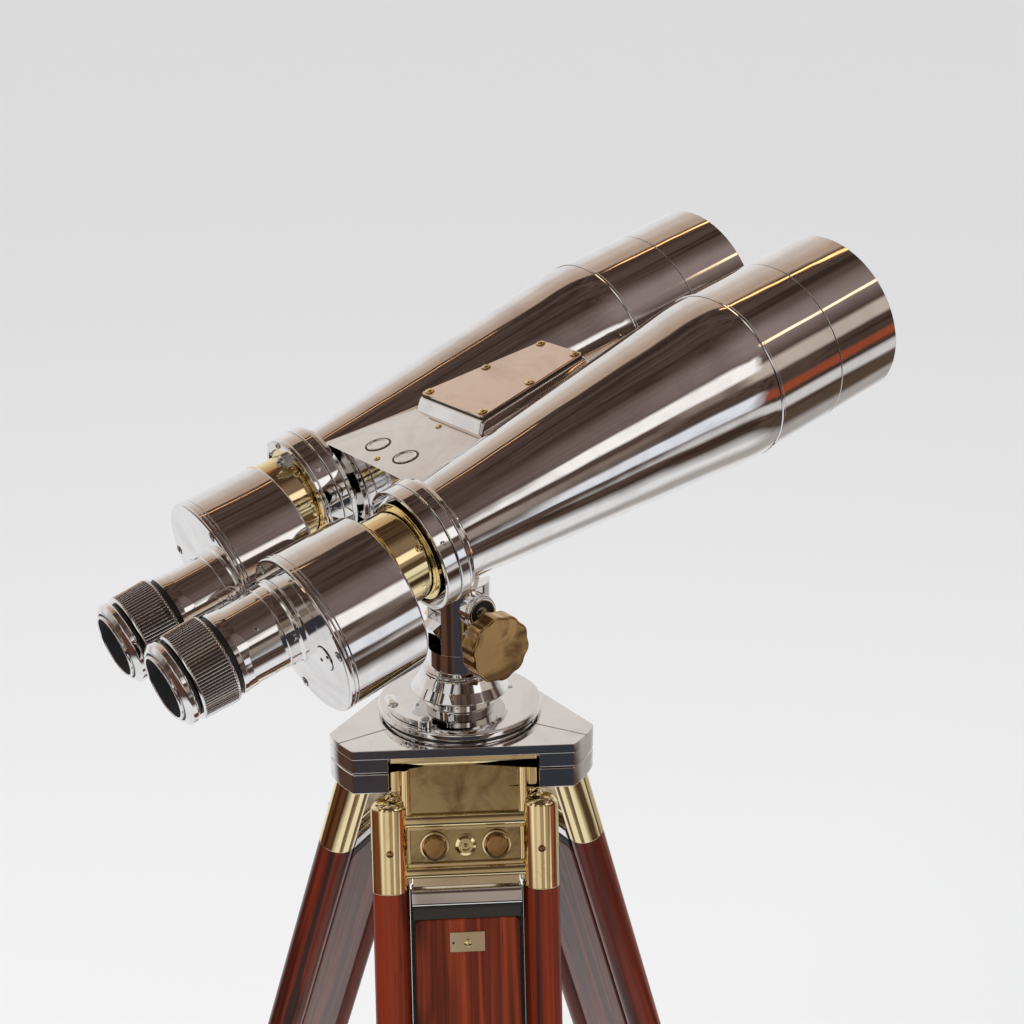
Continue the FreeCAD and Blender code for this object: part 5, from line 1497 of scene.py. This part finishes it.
# ---- azimuth disc, its lever and the tripod head ----
def make_disc():
    disc = lathe("disc", [(18.1, -DISC_THICKNESS, 0), (57, -DISC_THICKNESS, 0),
                          (57, -5.2, 0.6), (DISC_RADIUS, -5.0, 1.0),
                          (DISC_RADIUS, 0, 1.8), (26.0, 0, 0.6), (25.0, 8.2, 0.5),
                          (18.1, 8.2, 0)], head_frame, [DISC_METAL], upright=True, segments=180)
    seam = lathe("seam", [(50, -8.1, 0), (58.2, -8.1, 0), (58.2, -7.5, 0), (50, -7.5, 0)], head_frame,
                 [BLACK],
                 upright=True)
    pieces = [disc, seam]
    for angle in (262, 22, 142):
        turn = math.radians(angle)
        pieces.append(screw("disc_screw", 2.3, 0.5, head_frame, SATIN,
                            aimed(41 * math.cos(turn), 41 * math.sin(turn), 0), angle))
    return joined("azimuth_disc_turned", pieces)


def on_circle(radius, angle):
    return radius * math.cos(math.radians(angle)), radius * math.sin(math.radians(angle))


def make_lever():
    """Curved arm that follows the disc's rim, a pivot screw, and an upturned thumb piece."""
    low, high = 0.3, 4.4
    outline = []
    count = 16
    arm = LEVER_PIVOT - LEVER_THUMB
    for index in range(count + 1):
        share = index / count
        wide = 3.4 + 1.0 * math.sin(share * math.pi)
        p, q = on_circle(LEVER_CIRCLE + wide, LEVER_THUMB + arm * share)
        outline.append((p, q, 0))
    for index in range(count, -1, -1):
        share = index / count
        wide = 3.0 + 0.8 * math.sin(share * math.pi)
        p, q = on_circle(LEVER_CIRCLE - wide, LEVER_THUMB + arm * share)
        outline.append((p, q, 0))
    pieces = [slab("arm", outline, low, high, head_frame, [NICKEL], bevel=0.8, steps=1)]
    px, py = on_circle(LEVER_CIRCLE, LEVER_PIVOT)
    boss = lathe("boss", [(0, low, 0), (5.2, low, 0), (5.2, high + 1.2, 0.7), (0, high + 1.2, 0)], head_frame,
                 [NICKEL], px, py, upright=True, segments=48)
    pieces.append(boss)
    pieces.append(screw("lever_screw", 3.0, 1.4, head_frame, SATIN, aimed(px, py, high + 1.2), 70))
    tx, ty = on_circle(LEVER_CIRCLE, LEVER_THUMB)
    bm = bmesh.new()
    bmesh.ops.create_uvsphere(bm, u_segments=40, v_segments=24, radius=1.0)
    for vert in bm.verts:
        pinch = 0.62 + 0.55 * vert.co.y ** 2
        vert.co = Vector((vert.co.x * 6.4 * pinch, vert.co.y * 8.6,
                          vert.co.z * 3.4 + 1.2 * vert.co.y ** 2)) * MM
    thumb = finished("thumb", bm, head_frame, [NICKEL], 0)
    turn = Matrix.Rotation(math.radians(LEVER_THUMB), 4, "Z")
    pieces.append(moved_mesh(thumb, Matrix.Translation(Vector((tx, ty, 3.9)) * MM) @ turn))
    return joined("azimuth_lever_arm", pieces)


def head_outline(pockets):
    """Round plate with three flat sides, and with hinge pockets if they are wanted."""
    outline = []
    corner = math.degrees(math.acos(HEAD_FLAT / HEAD_RADIUS))
    reach = math.sqrt(HEAD_RADIUS ** 2 - HEAD_FLAT ** 2)
    for angle in (30, 150, 270):
        points = [(HEAD_FLAT, -reach, HEAD_CORNER)]
        if pockets:
            points += [(HEAD_FLAT, -POCKET_HALF, 1.0), (HEAD_FLAT - POCKET_DEPTH, -POCKET_HALF, 1.5),
                       (HEAD_FLAT - POCKET_DEPTH, POCKET_HALF, 1.5), (HEAD_FLAT, POCKET_HALF, 1.0)]
        points.append((HEAD_FLAT, reach, HEAD_CORNER))
        outline += rotated_outline(points, angle)
        middle = angle + 60
        half = 60 - corner
        for step in range(1, 16):
            share = 2 * step / 16 - 1
            outline.append(on_circle(HEAD_RADIUS, middle + half * share) + (0,))
    return outline


def make_head_plates():
    seams = []
    for angle in (90, 210, 330):
        turn = Matrix.Rotation(math.radians(angle), 4, "Z")
        cutter = cutter_box((DISC_RADIUS - 4, HEAD_RADIUS + 1), (-0.45, 0.45),
                            (UPPER_TOP - 1.2, UPPER_TOP + 1),
                            head_frame)
        cutter.data.transform(turn)
        seams.append(cutter)
    roof = slab("roof", head_outline(False), POCKET_ROOF, UPPER_TOP, head_frame, [NICKEL], bevel=1.1,
                cutters=seams)
    skirt = slab("skirt", head_outline(True), UPPER_BOTTOM + 0.35, POCKET_ROOF + 0.6, head_frame, [NICKEL],
                 bevel=0.7)
    upper = joined("head_top_casting", [roof, skirt])
    # Black strips at the floor of the three cut seams, and a black band between the upper and lower plates:
    # painted shade in the seams.
    dark = [slab("seam_floor", *block((DISC_RADIUS - 4, HEAD_RADIUS - 0.25), (-0.44, 0.44),
                                      (UPPER_TOP - 1.3, UPPER_TOP - 0.5)), head_frame, [BLACK], bevel=0)
            for _ in range(3)]
    for piece, angle in zip(dark, (90, 210, 330)):
        moved_mesh(piece, Matrix.Rotation(math.radians(angle), 4, "Z"))
    seam_band = slab("plate_seam", [(p * 0.994, q * 0.994, r) for p, q, r in head_outline(True)],
                     UPPER_BOTTOM - 0.5, UPPER_BOTTOM + 0.5, head_frame, [BLACK], bevel=0)
    seams_piece = joined("head_seams", dark + [seam_band])
    lower = slab("head_bottom_casting", head_outline(True), LOWER_BOTTOM, UPPER_BOTTOM - 0.35, head_frame,
                 [NICKEL],
                 bevel=1.3)
    pins = []
    for angle in (30, 150, 270):
        for side in (-1, 1):
            end = side * (POCKET_HALF + 8)
            pin = rod("pin_end", 4.0, 16, head_frame, SATIN, aimed(50.1, end, -22.5,
                                                                   "-y" if side > 0 else "y"),
                      0.4, 32)
            pins.append(moved_mesh(pin, Matrix.Rotation(math.radians(angle), 4, "Z")))
    return upper, seams_piece, lower, joined("hinge_pin_ends", pins)


settle(make_disc(), "tripod_head", ["azimuth_disc"])
settle(make_lever(), "azimuth_lever", ["azimuth_lever"])
head_top, head_seams, head_bottom, hinge_pins = make_head_plates()
settle(head_top, "tripod_head", ["head_upper_plate"])
settle(head_seams, "tripod_head")
settle(head_bottom, "tripod_head", ["head_lower_plate"])
settle(hinge_pins, "tripod_head")
frame["nodes"]["leg_hinge_pins"].data.materials.clear()
frame["nodes"]["leg_hinge_pins"].data.materials.append(SATIN)
frame["nodes"]["saddle"].data.materials.clear()
frame["nodes"]["saddle"].data.materials.append(NICKEL)


# ---- legs ----
def bar(name, half, y, z, radius, home, material):
    """Bar along x with well-rounded long edges."""
    outline = [(y[0], z[0], radius), (y[1], z[0], radius), (y[1], z[1], radius), (y[0], z[1], radius)]
    return slab(name, outline, -half, half, home, [material], bevel=0.5, axis="x", steps=6)


def make_bracket(leg):
    """Brass hinge casting: dark panel, upright rounds, ribs, bolt panel and two ferrules."""
    home = leg_frames[leg]
    half = POCKET_HALF - 0.9
    pieces = [moved_mesh(lathe("barrel", [(4.05, 0, 0), (PIN_RADIUS, 0, 0.5), (PIN_RADIUS, 2 * half, 0.5),
                                          (4.05, 2 * half, 0)], home, [BRASS], upright=True, segments=64),
                         aimed(-half, 0, 0, "x"))]
    pieces.append(slab("panel", *block((-PANEL_HALF - 3, PANEL_HALF + 3), (-3.2, 4.5), (-45, -3)), home,
                       [DARK_BRASS], bevel=0.8))
    pieces.append(slab("panel_lip", *block((-half, half), (-7.0, -2.0), (-3.0, 5.0)), home, [BRASS],
                       bevel=1.2))
    for side in (-1, 1):
        span_x = sorted((side * (RAIL_X + 4.0), side * half))
        pieces.append(slab("cheek", *block(tuple(span_x), (-2.5, 3.5), (-24.0, 2.0)), home, [BRASS],
                           bevel=1.0))
        rail = lathe("rail", [(0, -42, 0), (4.1, -42, 0), (4.1, -6.5, 3.9), (0, -6.5, 0)], home, [BRASS],
                     side * RAIL_X, -2.2, upright=True, segments=48)
        pieces.append(rail)
        pieces.append(slab("web", *block((side * RAIL_X - 5.0, side * RAIL_X + 5.0), (-1.8, 3.5), (-42, -4)),
                           home,
                           [BRASS], bevel=1.0))
    pieces.append(bar("rib", PANEL_HALF + 5.5, (-8.8, 6.0), (-49.0, -39.5), 3.6, home, BRASS))
    pieces.append(bar("rib_line", PANEL_HALF + 4, (-6.2, 5.0), (-51.2, -48.0), 0.8, home, BRASS))
    pieces.append(bar("rib", PANEL_HALF + 5.5, (-8.8, 6.0), (-85.5, -77.0), 3.4, home, BRASS))
    pieces.append(bar("rib_line", PANEL_HALF + 4, (-6.2, 5.0), (-78.0, -74.6), 0.8, home, BRASS))
    pieces.append(slab("bolt_panel", *block((-PANEL_HALF - 4, PANEL_HALF + 4), (-3.6, 5.0), (-84, -46)), home,
                       [DARK_BRASS], bevel=0.6))
    pieces.append(slab("lower_panel", *block((-PANEL_HALF - 1, PANEL_HALF + 1), (-4.6, 4.5), (-92.2, -83)),
                       home,
                       [PALE_BRASS], bevel=0.6))
    for x in (-BOLT_SPACING, BOLT_SPACING):
        pieces.append(moved_mesh(lathe("bolt", [(0, 0, 0), (10.2, 0, 0), (10.2, 2.4, 1.0), (7.6, 3.4, 0.5),
                                                (7.4, 7.4, 0.9), (0, 7.4, 0)], home, [OLD_BRASS],
                                       upright=True,
                                       segments=64), aimed(x, -3.5, BOLT_LEVEL, "-y")))
        pieces.append(moved_mesh(lathe("bolt_rim", [(9.0, 2.6, 0), (10.4, 2.2, 0), (10.4, 3.0, 0.3),
                                                    (9.0, 3.2, 0.2)],
                                       home, [BRASS], upright=True, segments=64),
                                 aimed(x, -3.5, BOLT_LEVEL, "-y")))
    pieces.append(moved_mesh(lathe("socket_screw", [(0, 0, 0), (8.0, 0, 0), (8.0, 2.0, 1.4), (5.2, 3.4, 0.8),
                                                    (3.6, 3.4, 0.3), (3.3, 1.0, 0), (0, 1.0, 0)],
                                   home, [BRASS], upright=True, segments=48),
                             aimed(0, -3.5, BOLT_LEVEL, "-y")))
    pieces.append(moved_mesh(lathe("socket_pin", [(0, 0, 0), (1.6, 0, 0), (1.2, 2.6, 0.5), (0, 2.6, 0)],
                                   home, [OLD_BRASS], upright=True, segments=32),
                             aimed(0, -3.5, BOLT_LEVEL, "-y")))
    for side in (-1, 1):
        x = side * POLE_SPACING
        pieces.append(lathe("ferrule", [
            (0, FERRULE_BOTTOM + 30, 0), (11.1, FERRULE_BOTTOM + 30, 0), (11.1, FERRULE_BOTTOM, 0),
            (FERRULE_RADIUS, FERRULE_BOTTOM, 0.9), (FERRULE_RADIUS, FERRULE_TOP, 11.5),
            (0, FERRULE_TOP + 1.5, 0)],
            home, [BRASS], x, 0, upright=True, segments=96, steps=10))
        shoulder = lathe("shoulder", [(0, -8, 0), (6.0, -8, 0), (6.8, 4.0, 4.0), (0, 5.0, 0)], home, [BRASS],
                         upright=True, segments=48, steps=6)
        tilt = Matrix.Rotation(math.radians(-side * 38), 4, "Y")
        pieces.append(moved_mesh(shoulder, Matrix.Translation(Vector((side * 50.5, -0.6,
                                                                      -30.5)) * MM) @ tilt))
        pieces.append(screw("ferrule_screw", 2.7, 1.3, home, OLD_BRASS,
                            aimed(x, -FERRULE_RADIUS + 0.35, -65.5, "-y"),
                            20 if side < 0 else 85))
        pieces.append(slab("side_web", *block((min(side * 39, side * 50), max(side * 39, side * 50)),
                                              (-4.5, 4.5),
                                              (-90, -34)), home, [BRASS], bevel=1.5))
    return joined(leg + "_bracket_casting", pieces)


def make_poles(leg):
    """Two round varnished poles."""
    poles = []
    for side in (-1, 1):
        poles.append(lathe("pole", [(0, CLAMP_BOTTOM + 4, 0), (POLE_RADIUS, CLAMP_BOTTOM + 4, 0.6),
                                    (POLE_RADIUS, FERRULE_BOTTOM, 0), (11.0, FERRULE_BOTTOM, 0),
                                    (11.0, FERRULE_BOTTOM + 28, 0.8), (0, FERRULE_BOTTOM + 28, 0)],
                           leg_frames[leg], [WOOD], side * POLE_SPACING, 0, upright=True, segments=64))
    return joined(leg + "_pole_pair", poles)


def make_board(leg):
    """Flat sliding board with rounded shoulders and eased edges."""
    outline = [(-BOARD_HALF, -1032.0, 0), (BOARD_HALF, -1032.0, 0), (BOARD_HALF, BOARD_TOP, 5.0),
               (-BOARD_HALF, BOARD_TOP, 5.0)]
    board = slab("board", outline, -BOARD_THICK / 2, BOARD_THICK / 2, leg_frames[leg], [BOARD_WOOD],
                 bevel=1.8, axis="y", segments=4)
    pieces = [board]
    # Tongues along each edge take the dark finish: painted shade in the gap between board and poles.
    for side in (-1, 1):
        tongue = sorted((side * (BOARD_HALF - 1), side * (POLE_SPACING - POLE_RADIUS - 0.25)))
        pieces.append(slab("tongue", *block(tuple(tongue), (-2.2, 2.2), (-1000.0, CAP_TOP - 2)),
                           leg_frames[leg],
                           [DARK_PARTS_AND_SHADE], bevel=0.3, segments=1))
    return joined(leg + "_sliding_board", pieces)


def make_board_fittings(leg):
    """Steel guide bar, a thin black bar at its foot and a dark strip under it."""
    home = leg_frames[leg]
    depth = BOARD_THICK / 2 + 1
    pieces = [bar("guide_bar", 39.4, (-depth, depth), (CAP_TOP - 12.6, CAP_TOP), 3.0, home, CHROME)]
    # A thin black bar at the foot of the guide bar: painted shade in the joint.
    pieces.append(bar("guide_groove", 39.0, (-depth + 0.8, depth - 0.8), (CAP_TOP - 14.2, CAP_TOP - 12.2),
                      0.2,
                      home, BLACK))
    pieces.append(bar("strip", 38.6, (-depth + 0.5, depth - 0.5), (BOARD_TOP + 0.2, CAP_TOP - 13.8), 0.6,
                      home,
                      DARK_PARTS_AND_SHADE))
    return pieces


def make_number_plate(leg):
    """Small blank brass plate on the board."""
    home = leg_frames[leg]
    face = -BOARD_THICK / 2
    pieces = [slab("plate", *block((-13.0, 12.0), (face - 0.9, face + 0.2), (-138.5, -124.2), 0.0), home,
                   [PALE_BRASS], bevel=0.25)]
    pieces.append(screw("plate_screw", 2.9, 1.2, home, BRASS, aimed(0, face - 0.85, -132.0, "-y"), 75))
    # The pin hole is a thin black disc: painted shade standing for the hole.
    pieces.append(rod("pin_hole", 0.9, 0.06, home, BLACK, aimed(-10.6, face - 0.9, -131.8, "-y"), 0, 16))
    return pieces


def make_foot_clamp(leg):
    """Brass bridge at the foot of the poles."""
    home = leg_frames[leg]
    slot_x, slot_y = BOARD_HALF + 0.3, BOARD_THICK / 2 + 0.3
    cutter = cutter_box((-slot_x, slot_x), (-slot_y, slot_y), (CLAMP_BOTTOM - 1, CLAMP_TOP + 1), home)
    notch_x = POLE_SPACING - POLE_RADIUS
    notch = cutter_box((-notch_x, notch_x), (-2.6, 2.6), (CLAMP_BOTTOM - 1, CLAMP_TOP + 1), home)
    outline = [(-POLE_SPACING - CLAMP_RADIUS, -CLAMP_RADIUS, CLAMP_RADIUS - 0.4),
               (POLE_SPACING + CLAMP_RADIUS, -CLAMP_RADIUS, CLAMP_RADIUS - 0.4),
               (POLE_SPACING + CLAMP_RADIUS, CLAMP_RADIUS, CLAMP_RADIUS - 0.4),
               (-POLE_SPACING - CLAMP_RADIUS, CLAMP_RADIUS, CLAMP_RADIUS - 0.4)]
    body = slab("body", outline, CLAMP_BOTTOM, CLAMP_TOP, home, [BRASS], bevel=1.2, steps=10,
                cutters=[cutter, notch])
    middle = (CLAMP_TOP + CLAMP_BOTTOM) / 2
    boss = moved_mesh(lathe("boss", [(4.05, 0, 0), (9, 0, 0), (9, 9.2, 0.8), (4.05, 9.2, 0)], home, [BRASS],
                            upright=True, segments=48), aimed(0, -slot_y - 2, middle, "-y"))
    return joined(leg + "_foot_bridge", [body, boss])


def make_leg_knob(leg):
    home = leg_frames[leg]
    middle = (CLAMP_TOP + CLAMP_BOTTOM) / 2
    face = -CLAMP_RADIUS - 5.3
    knob = lobed("knob", KNOB_RADIUS, 12.0, 8, 1.5, home, [OLD_BRASS], aimed(0, face - 4, middle, "-y"),
                 bevel=1.2)
    neck = rod("neck", 7.0, 5, home, OLD_BRASS, aimed(0, face, middle, "-y"), 0.4, 40)
    shank = rod("shank", 4.0, 11.2, home, SATIN, aimed(0, -BOARD_THICK / 2 - 0.6, middle, "-y"), 0.3, 32)
    return joined(leg + "_clamp_knob", [knob, neck, shank])


def make_shoe(leg):
    """Brass shoe whose sole is cut level with the floor."""
    home = leg_frames[leg]
    outer_x, outer_y = BOARD_HALF + 3, BOARD_THICK / 2 + 3
    shoe = slab("shoe", *block((-outer_x, outer_x), (-outer_y, outer_y), (-1044, SHOE_TOP), 2.5), home,
                [BRASS],
                bevel=0.8)
    pieces = [shoe]
    for x in (-26, 26):
        pieces.append(screw("shoe_screw", 3.2, 1.4, home, OLD_BRASS, aimed(x, -outer_y, SHOE_TOP - 12, "-y"),
                            30 + x))
    lowest = -1150.0
    bm = bmesh.new()
    p = outer_x - 8
    q = outer_y + 2
    corners = [bm.verts.new(Vector((x, y, z)) * MM) for z in (lowest, -1040) for x, y in
               ((-p, -q), (p, -q), (p, q), (-p, q))]
    for quad in ((3, 2, 1, 0), (4, 5, 6, 7), (0, 1, 5, 4), (1, 2, 6, 5), (2, 3, 7, 6), (3, 0, 4, 7)):
        bm.faces.new([corners[i] for i in quad])
    floor_point = home.inverted() @ Vector((0, 0, 0.0001))
    floor_normal = home.inverted().to_3x3() @ Vector((0, 0, 1))
    cut = bmesh.ops.bisect_plane(bm, geom=bm.verts[:] + bm.edges[:] + bm.faces[:], plane_co=floor_point,
                                 plane_no=-floor_normal, clear_outer=True)
    edges = [item for item in cut["geom_cut"] if isinstance(item, bmesh.types.BMEdge)]
    bmesh.ops.holes_fill(bm, edges=edges)
    pieces.append(finished("foot", bm, home, [DARK_PARTS_AND_SHADE], 0))
    return joined(leg + "_shoe_and_foot", pieces)


for leg in LEGS:
    settle(make_bracket(leg), leg + "_leg", [leg + "_leg_bracket"])
    settle(make_poles(leg), leg + "_leg", [leg + "_leg_poles"])
    settle(make_foot_clamp(leg), leg + "_leg", [leg + "_leg_clamp"])
    settle(make_leg_knob(leg), leg + "_leg_knob", [leg + "_leg_knob"])
    settle(make_board(leg), leg + "_leg_extension", [leg + "_leg_board"])
    settle(joined(leg + "_board_fittings", make_board_fittings(leg)), leg + "_leg_extension",
           [leg + "_leg_board_cap"])
    settle(joined(leg + "_blank_plate", make_number_plate(leg)), leg + "_leg_extension")
    settle(make_shoe(leg), leg + "_leg_extension", [leg + "_leg_shoe"])


# ---- floor, light and camera ----
FLOOR_SIZE = 400
PLAIN_LIGHT = 0.90


def make_floor():
    material, tree, shader = new_material("pale floor", {"Specular IOR Level": 0.2, "Roughness": 0.75})
    mottled = noise(tree, stretched(tree, (1, 1, 1)), 3.0, 3.0, 0.5)
    tree.links.new(blend_colours(tree, mottled, (0.80, 0.805, 0.81, 1), (0.83, 0.83, 0.83, 1)),
                   shader.inputs["Base Color"])
    bm = bmesh.new()
    bmesh.ops.create_grid(bm, x_segments=1, y_segments=1, size=0.5)
    mesh = bpy.data.meshes.new("floor")
    bm.to_mesh(mesh)
    bm.free()
    floor = object_from("floor", mesh, Matrix.Diagonal((FLOOR_SIZE, FLOOR_SIZE, 1, 1)), [material])
    floor.visible_glossy = False


make_floor()


def set_world():
    """Pale studio surround; polished surfaces also see a warm dark room with a window and lamps."""
    world = bpy.data.worlds.new("studio")
    bpy.context.scene.world = world
    world.use_nodes = True
    tree = world.node_tree
    tree.nodes.clear()
    end = add_node(tree, "ShaderNodeOutputWorld")
    plain = add_node(tree, "ShaderNodeBackground",
                     inputs={"Color": (1.0, 1.0, 1.0, 1), "Strength": PLAIN_LIGHT})
    room = add_node(tree, "ShaderNodeBackground", inputs={"Strength": 1.0})
    path = add_node(tree, "ShaderNodeLightPath")
    mix = add_node(tree, "ShaderNodeMixShader")
    coordinates = add_node(tree, "ShaderNodeTexCoord")
    direction = coordinates.outputs["Generated"]
    parts = add_node(tree, "ShaderNodeSeparateXYZ")
    tree.links.new(direction, parts.inputs[0])
    x, y, z = parts.outputs
    wobble = maths(tree, "SUBTRACT", noise(tree, direction, 5.0, 3.0, 0.6), 0.5)
    bearing = maths(tree, "ADD", maths(tree, "DEGREES", maths(tree, "ARCTAN2", x, y)),
                    maths(tree, "MULTIPLY", wobble, 9.0))
    height = maths(tree, "ADD", maths(tree, "DEGREES", maths(tree, "ARCSINE", z)),
                   maths(tree, "MULTIPLY", wobble, 5.0))

    def patch(colour, paint, left, right, low, high, edge=3.0):
        """Paints part of the surround between two bearings and two heights, in degrees."""
        masks = [span(tree, bearing, left - edge, left + edge),
                 span(tree, bearing, right - edge, right + edge, 1.0, 0.0),
                 span(tree, height, low - edge / 2, low + edge / 2),
                 span(tree, height, high - edge / 2, high + edge / 2, 1.0, 0.0)]
        share = masks[0]
        for mask in masks[1:]:
            share = maths(tree, "MULTIPLY", share, mask)
        return blend_colours(tree, share, colour, paint)

    clutter = noise(tree, direction, 5.0, 4.0, 0.62, 1.6)
    colour = blend_colours(tree, span(tree, clutter, 0.35, 0.7), (0.036, 0.021, 0.016, 1),
                           (0.118, 0.076, 0.062, 1))
    for paint, left, right, low, high, edge in ROOM:
        colour = patch(colour, paint, left, right, low, high, edge)
    tree.links.new(colour, room.inputs["Color"])
    tree.links.new(path.outputs["Is Glossy Ray"], mix.inputs[0])
    tree.links.new(plain.outputs[0], mix.inputs[1])
    tree.links.new(room.outputs[0], mix.inputs[2])
    tree.links.new(mix.outputs[0], end.inputs["Surface"])


# colour, then left and right bearing, low and high elevation and softness, all in degrees
ROOM = (
    ((0.46, 0.33, 0.25, 1), -85, 52, 20, 59, 2.5),
    ((0.60, 0.50, 0.43, 1), -85, 60, 10, 46, 14),
    ((0.76, 0.735, 0.72, 1), -80, 66, -30, 30, 12),
    ((0.80, 0.80, 0.805, 1), -200, 200, -95, -42, 9),
    ((0.80, 0.80, 0.805, 1), -50, 40, -60, 16, 8),
    ((0.40, 0.37, 0.35, 1), 36, 66, -60, -12, 8),
    ((0.085, 0.045, 0.032, 1), -182, -52, -38, -8, 5),
    ((0.040, 0.014, 0.009, 1), -104, -84, -38, -20, 4),
    ((0.110, 0.045, 0.030, 1), -128, -114, -38, -10, 3),
    ((0.035, 0.018, 0.013, 1), -150, -134, -38, -10, 4),
    ((0.16, 0.055, 0.028, 1), -112, -78, -22, -6, 5),
    ((0.036, 0.039, 0.049, 1), 150, 182, -40, -6, 6),
    ((0.036, 0.039, 0.049, 1), -182, -158, -40, -6, 6),
    ((0.105, 0.066, 0.040, 1), 138, 152, -40, -8, 4),
    ((0.26, 0.20, 0.19, 1), 92, 140, 34, 62, 16),
    ((0.52, 0.46, 0.42, 1), -182, -112, -5, 10, 5),
    ((0.70, 0.66, 0.62, 1), -176, -158, -8, 30, 6),
    ((0.95, 0.92, 0.88, 1), -140, -126, -4, 34, 5),
    ((0.60, 0.55, 0.50, 1), -108, -74, 2, 26, 6),
    ((0.34, 0.28, 0.24, 1), 132, 182, -6, 9, 5),
    ((0.90, 0.86, 0.80, 1), 152, 160, -6, 24, 2.5),
    ((0.22, 0.17, 0.13, 1), 164, 182, 10, 24, 4),
    ((0.090, 0.060, 0.040, 1), 64, 84, -37, -28, 3),
    ((0.62, 0.60, 0.59, 1), 84, 118, -27, -18, 3),
    ((0.30, 0.065, 0.028, 1), 78, 116, -13, -5, 3),
    ((0.52, 0.44, 0.38, 1), 88, 128, 10, 24, 4),
    ((1.05, 1.00, 0.98, 1), 122, 142, 18, 34, 3),
    ((0.80, 0.83, 0.88, 1), 117, 130, -17, -4, 3),
    ((2.2, 1.5, 0.95, 1), 104, 114, 41, 43.5, 1.2),
    ((3.2, 1.6, 0.6, 1), 12, 40, 61.5, 62.6, 0.9),
    ((2.2, 1.1, 0.45, 1), -60, -20, 63.5, 64.4, 0.8),
    ((2.0, 1.4, 0.9, 1), -120, -96, 34, 38, 2),
)
set_world()
LIT_POINT = (0, 0.05, 1.15)


def soft_light(name, place, size, energy, colour):
    light = bpy.data.lights.new(name, "AREA")
    light.shape = "RECTANGLE"
    light.size, light.size_y = size
    light.energy = energy
    light.color = colour
    lamp = bpy.data.objects.new(name, light)
    bpy.context.scene.collection.objects.link(lamp)
    lamp.location = place
    lamp.rotation_euler = (Vector(LIT_POINT) - Vector(place)).to_track_quat("-Z", "Y").to_euler()
    lamp.visible_glossy = False


soft_light("key", (-2.2, -1.6, 3.0), (1.8, 1.8), 55, (1.0, 0.98, 0.95))
soft_light("fill", (2.6, -1.0, 2.0), (1.6, 1.6), 22, (0.95, 0.97, 1.0))

LENS = 56.3
SENSOR = 36
VIEWER_PLACE = Vector((-38.4, -1075.5, 523.7))
LOOK = Vector((0.0677, 0.9410, -0.3316))
ROLL = -0.1
camera = bpy.data.cameras.new("camera")
camera.lens = LENS
camera.sensor_width = SENSOR
viewer = bpy.data.objects.new("camera", camera)
bpy.context.scene.collection.objects.link(viewer)
viewer.location = Vector((pan[0], pan[1], disc_top)) + VIEWER_PLACE * MM
viewer.rotation_mode = "QUATERNION"
roll = Matrix.Rotation(math.radians(ROLL), 3, "Z").to_quaternion()
viewer.rotation_quaternion = LOOK.to_track_quat("-Z", "Y") @ roll
bpy.context.scene.camera = viewer
bpy.context.scene.view_settings.view_transform = "Standard"
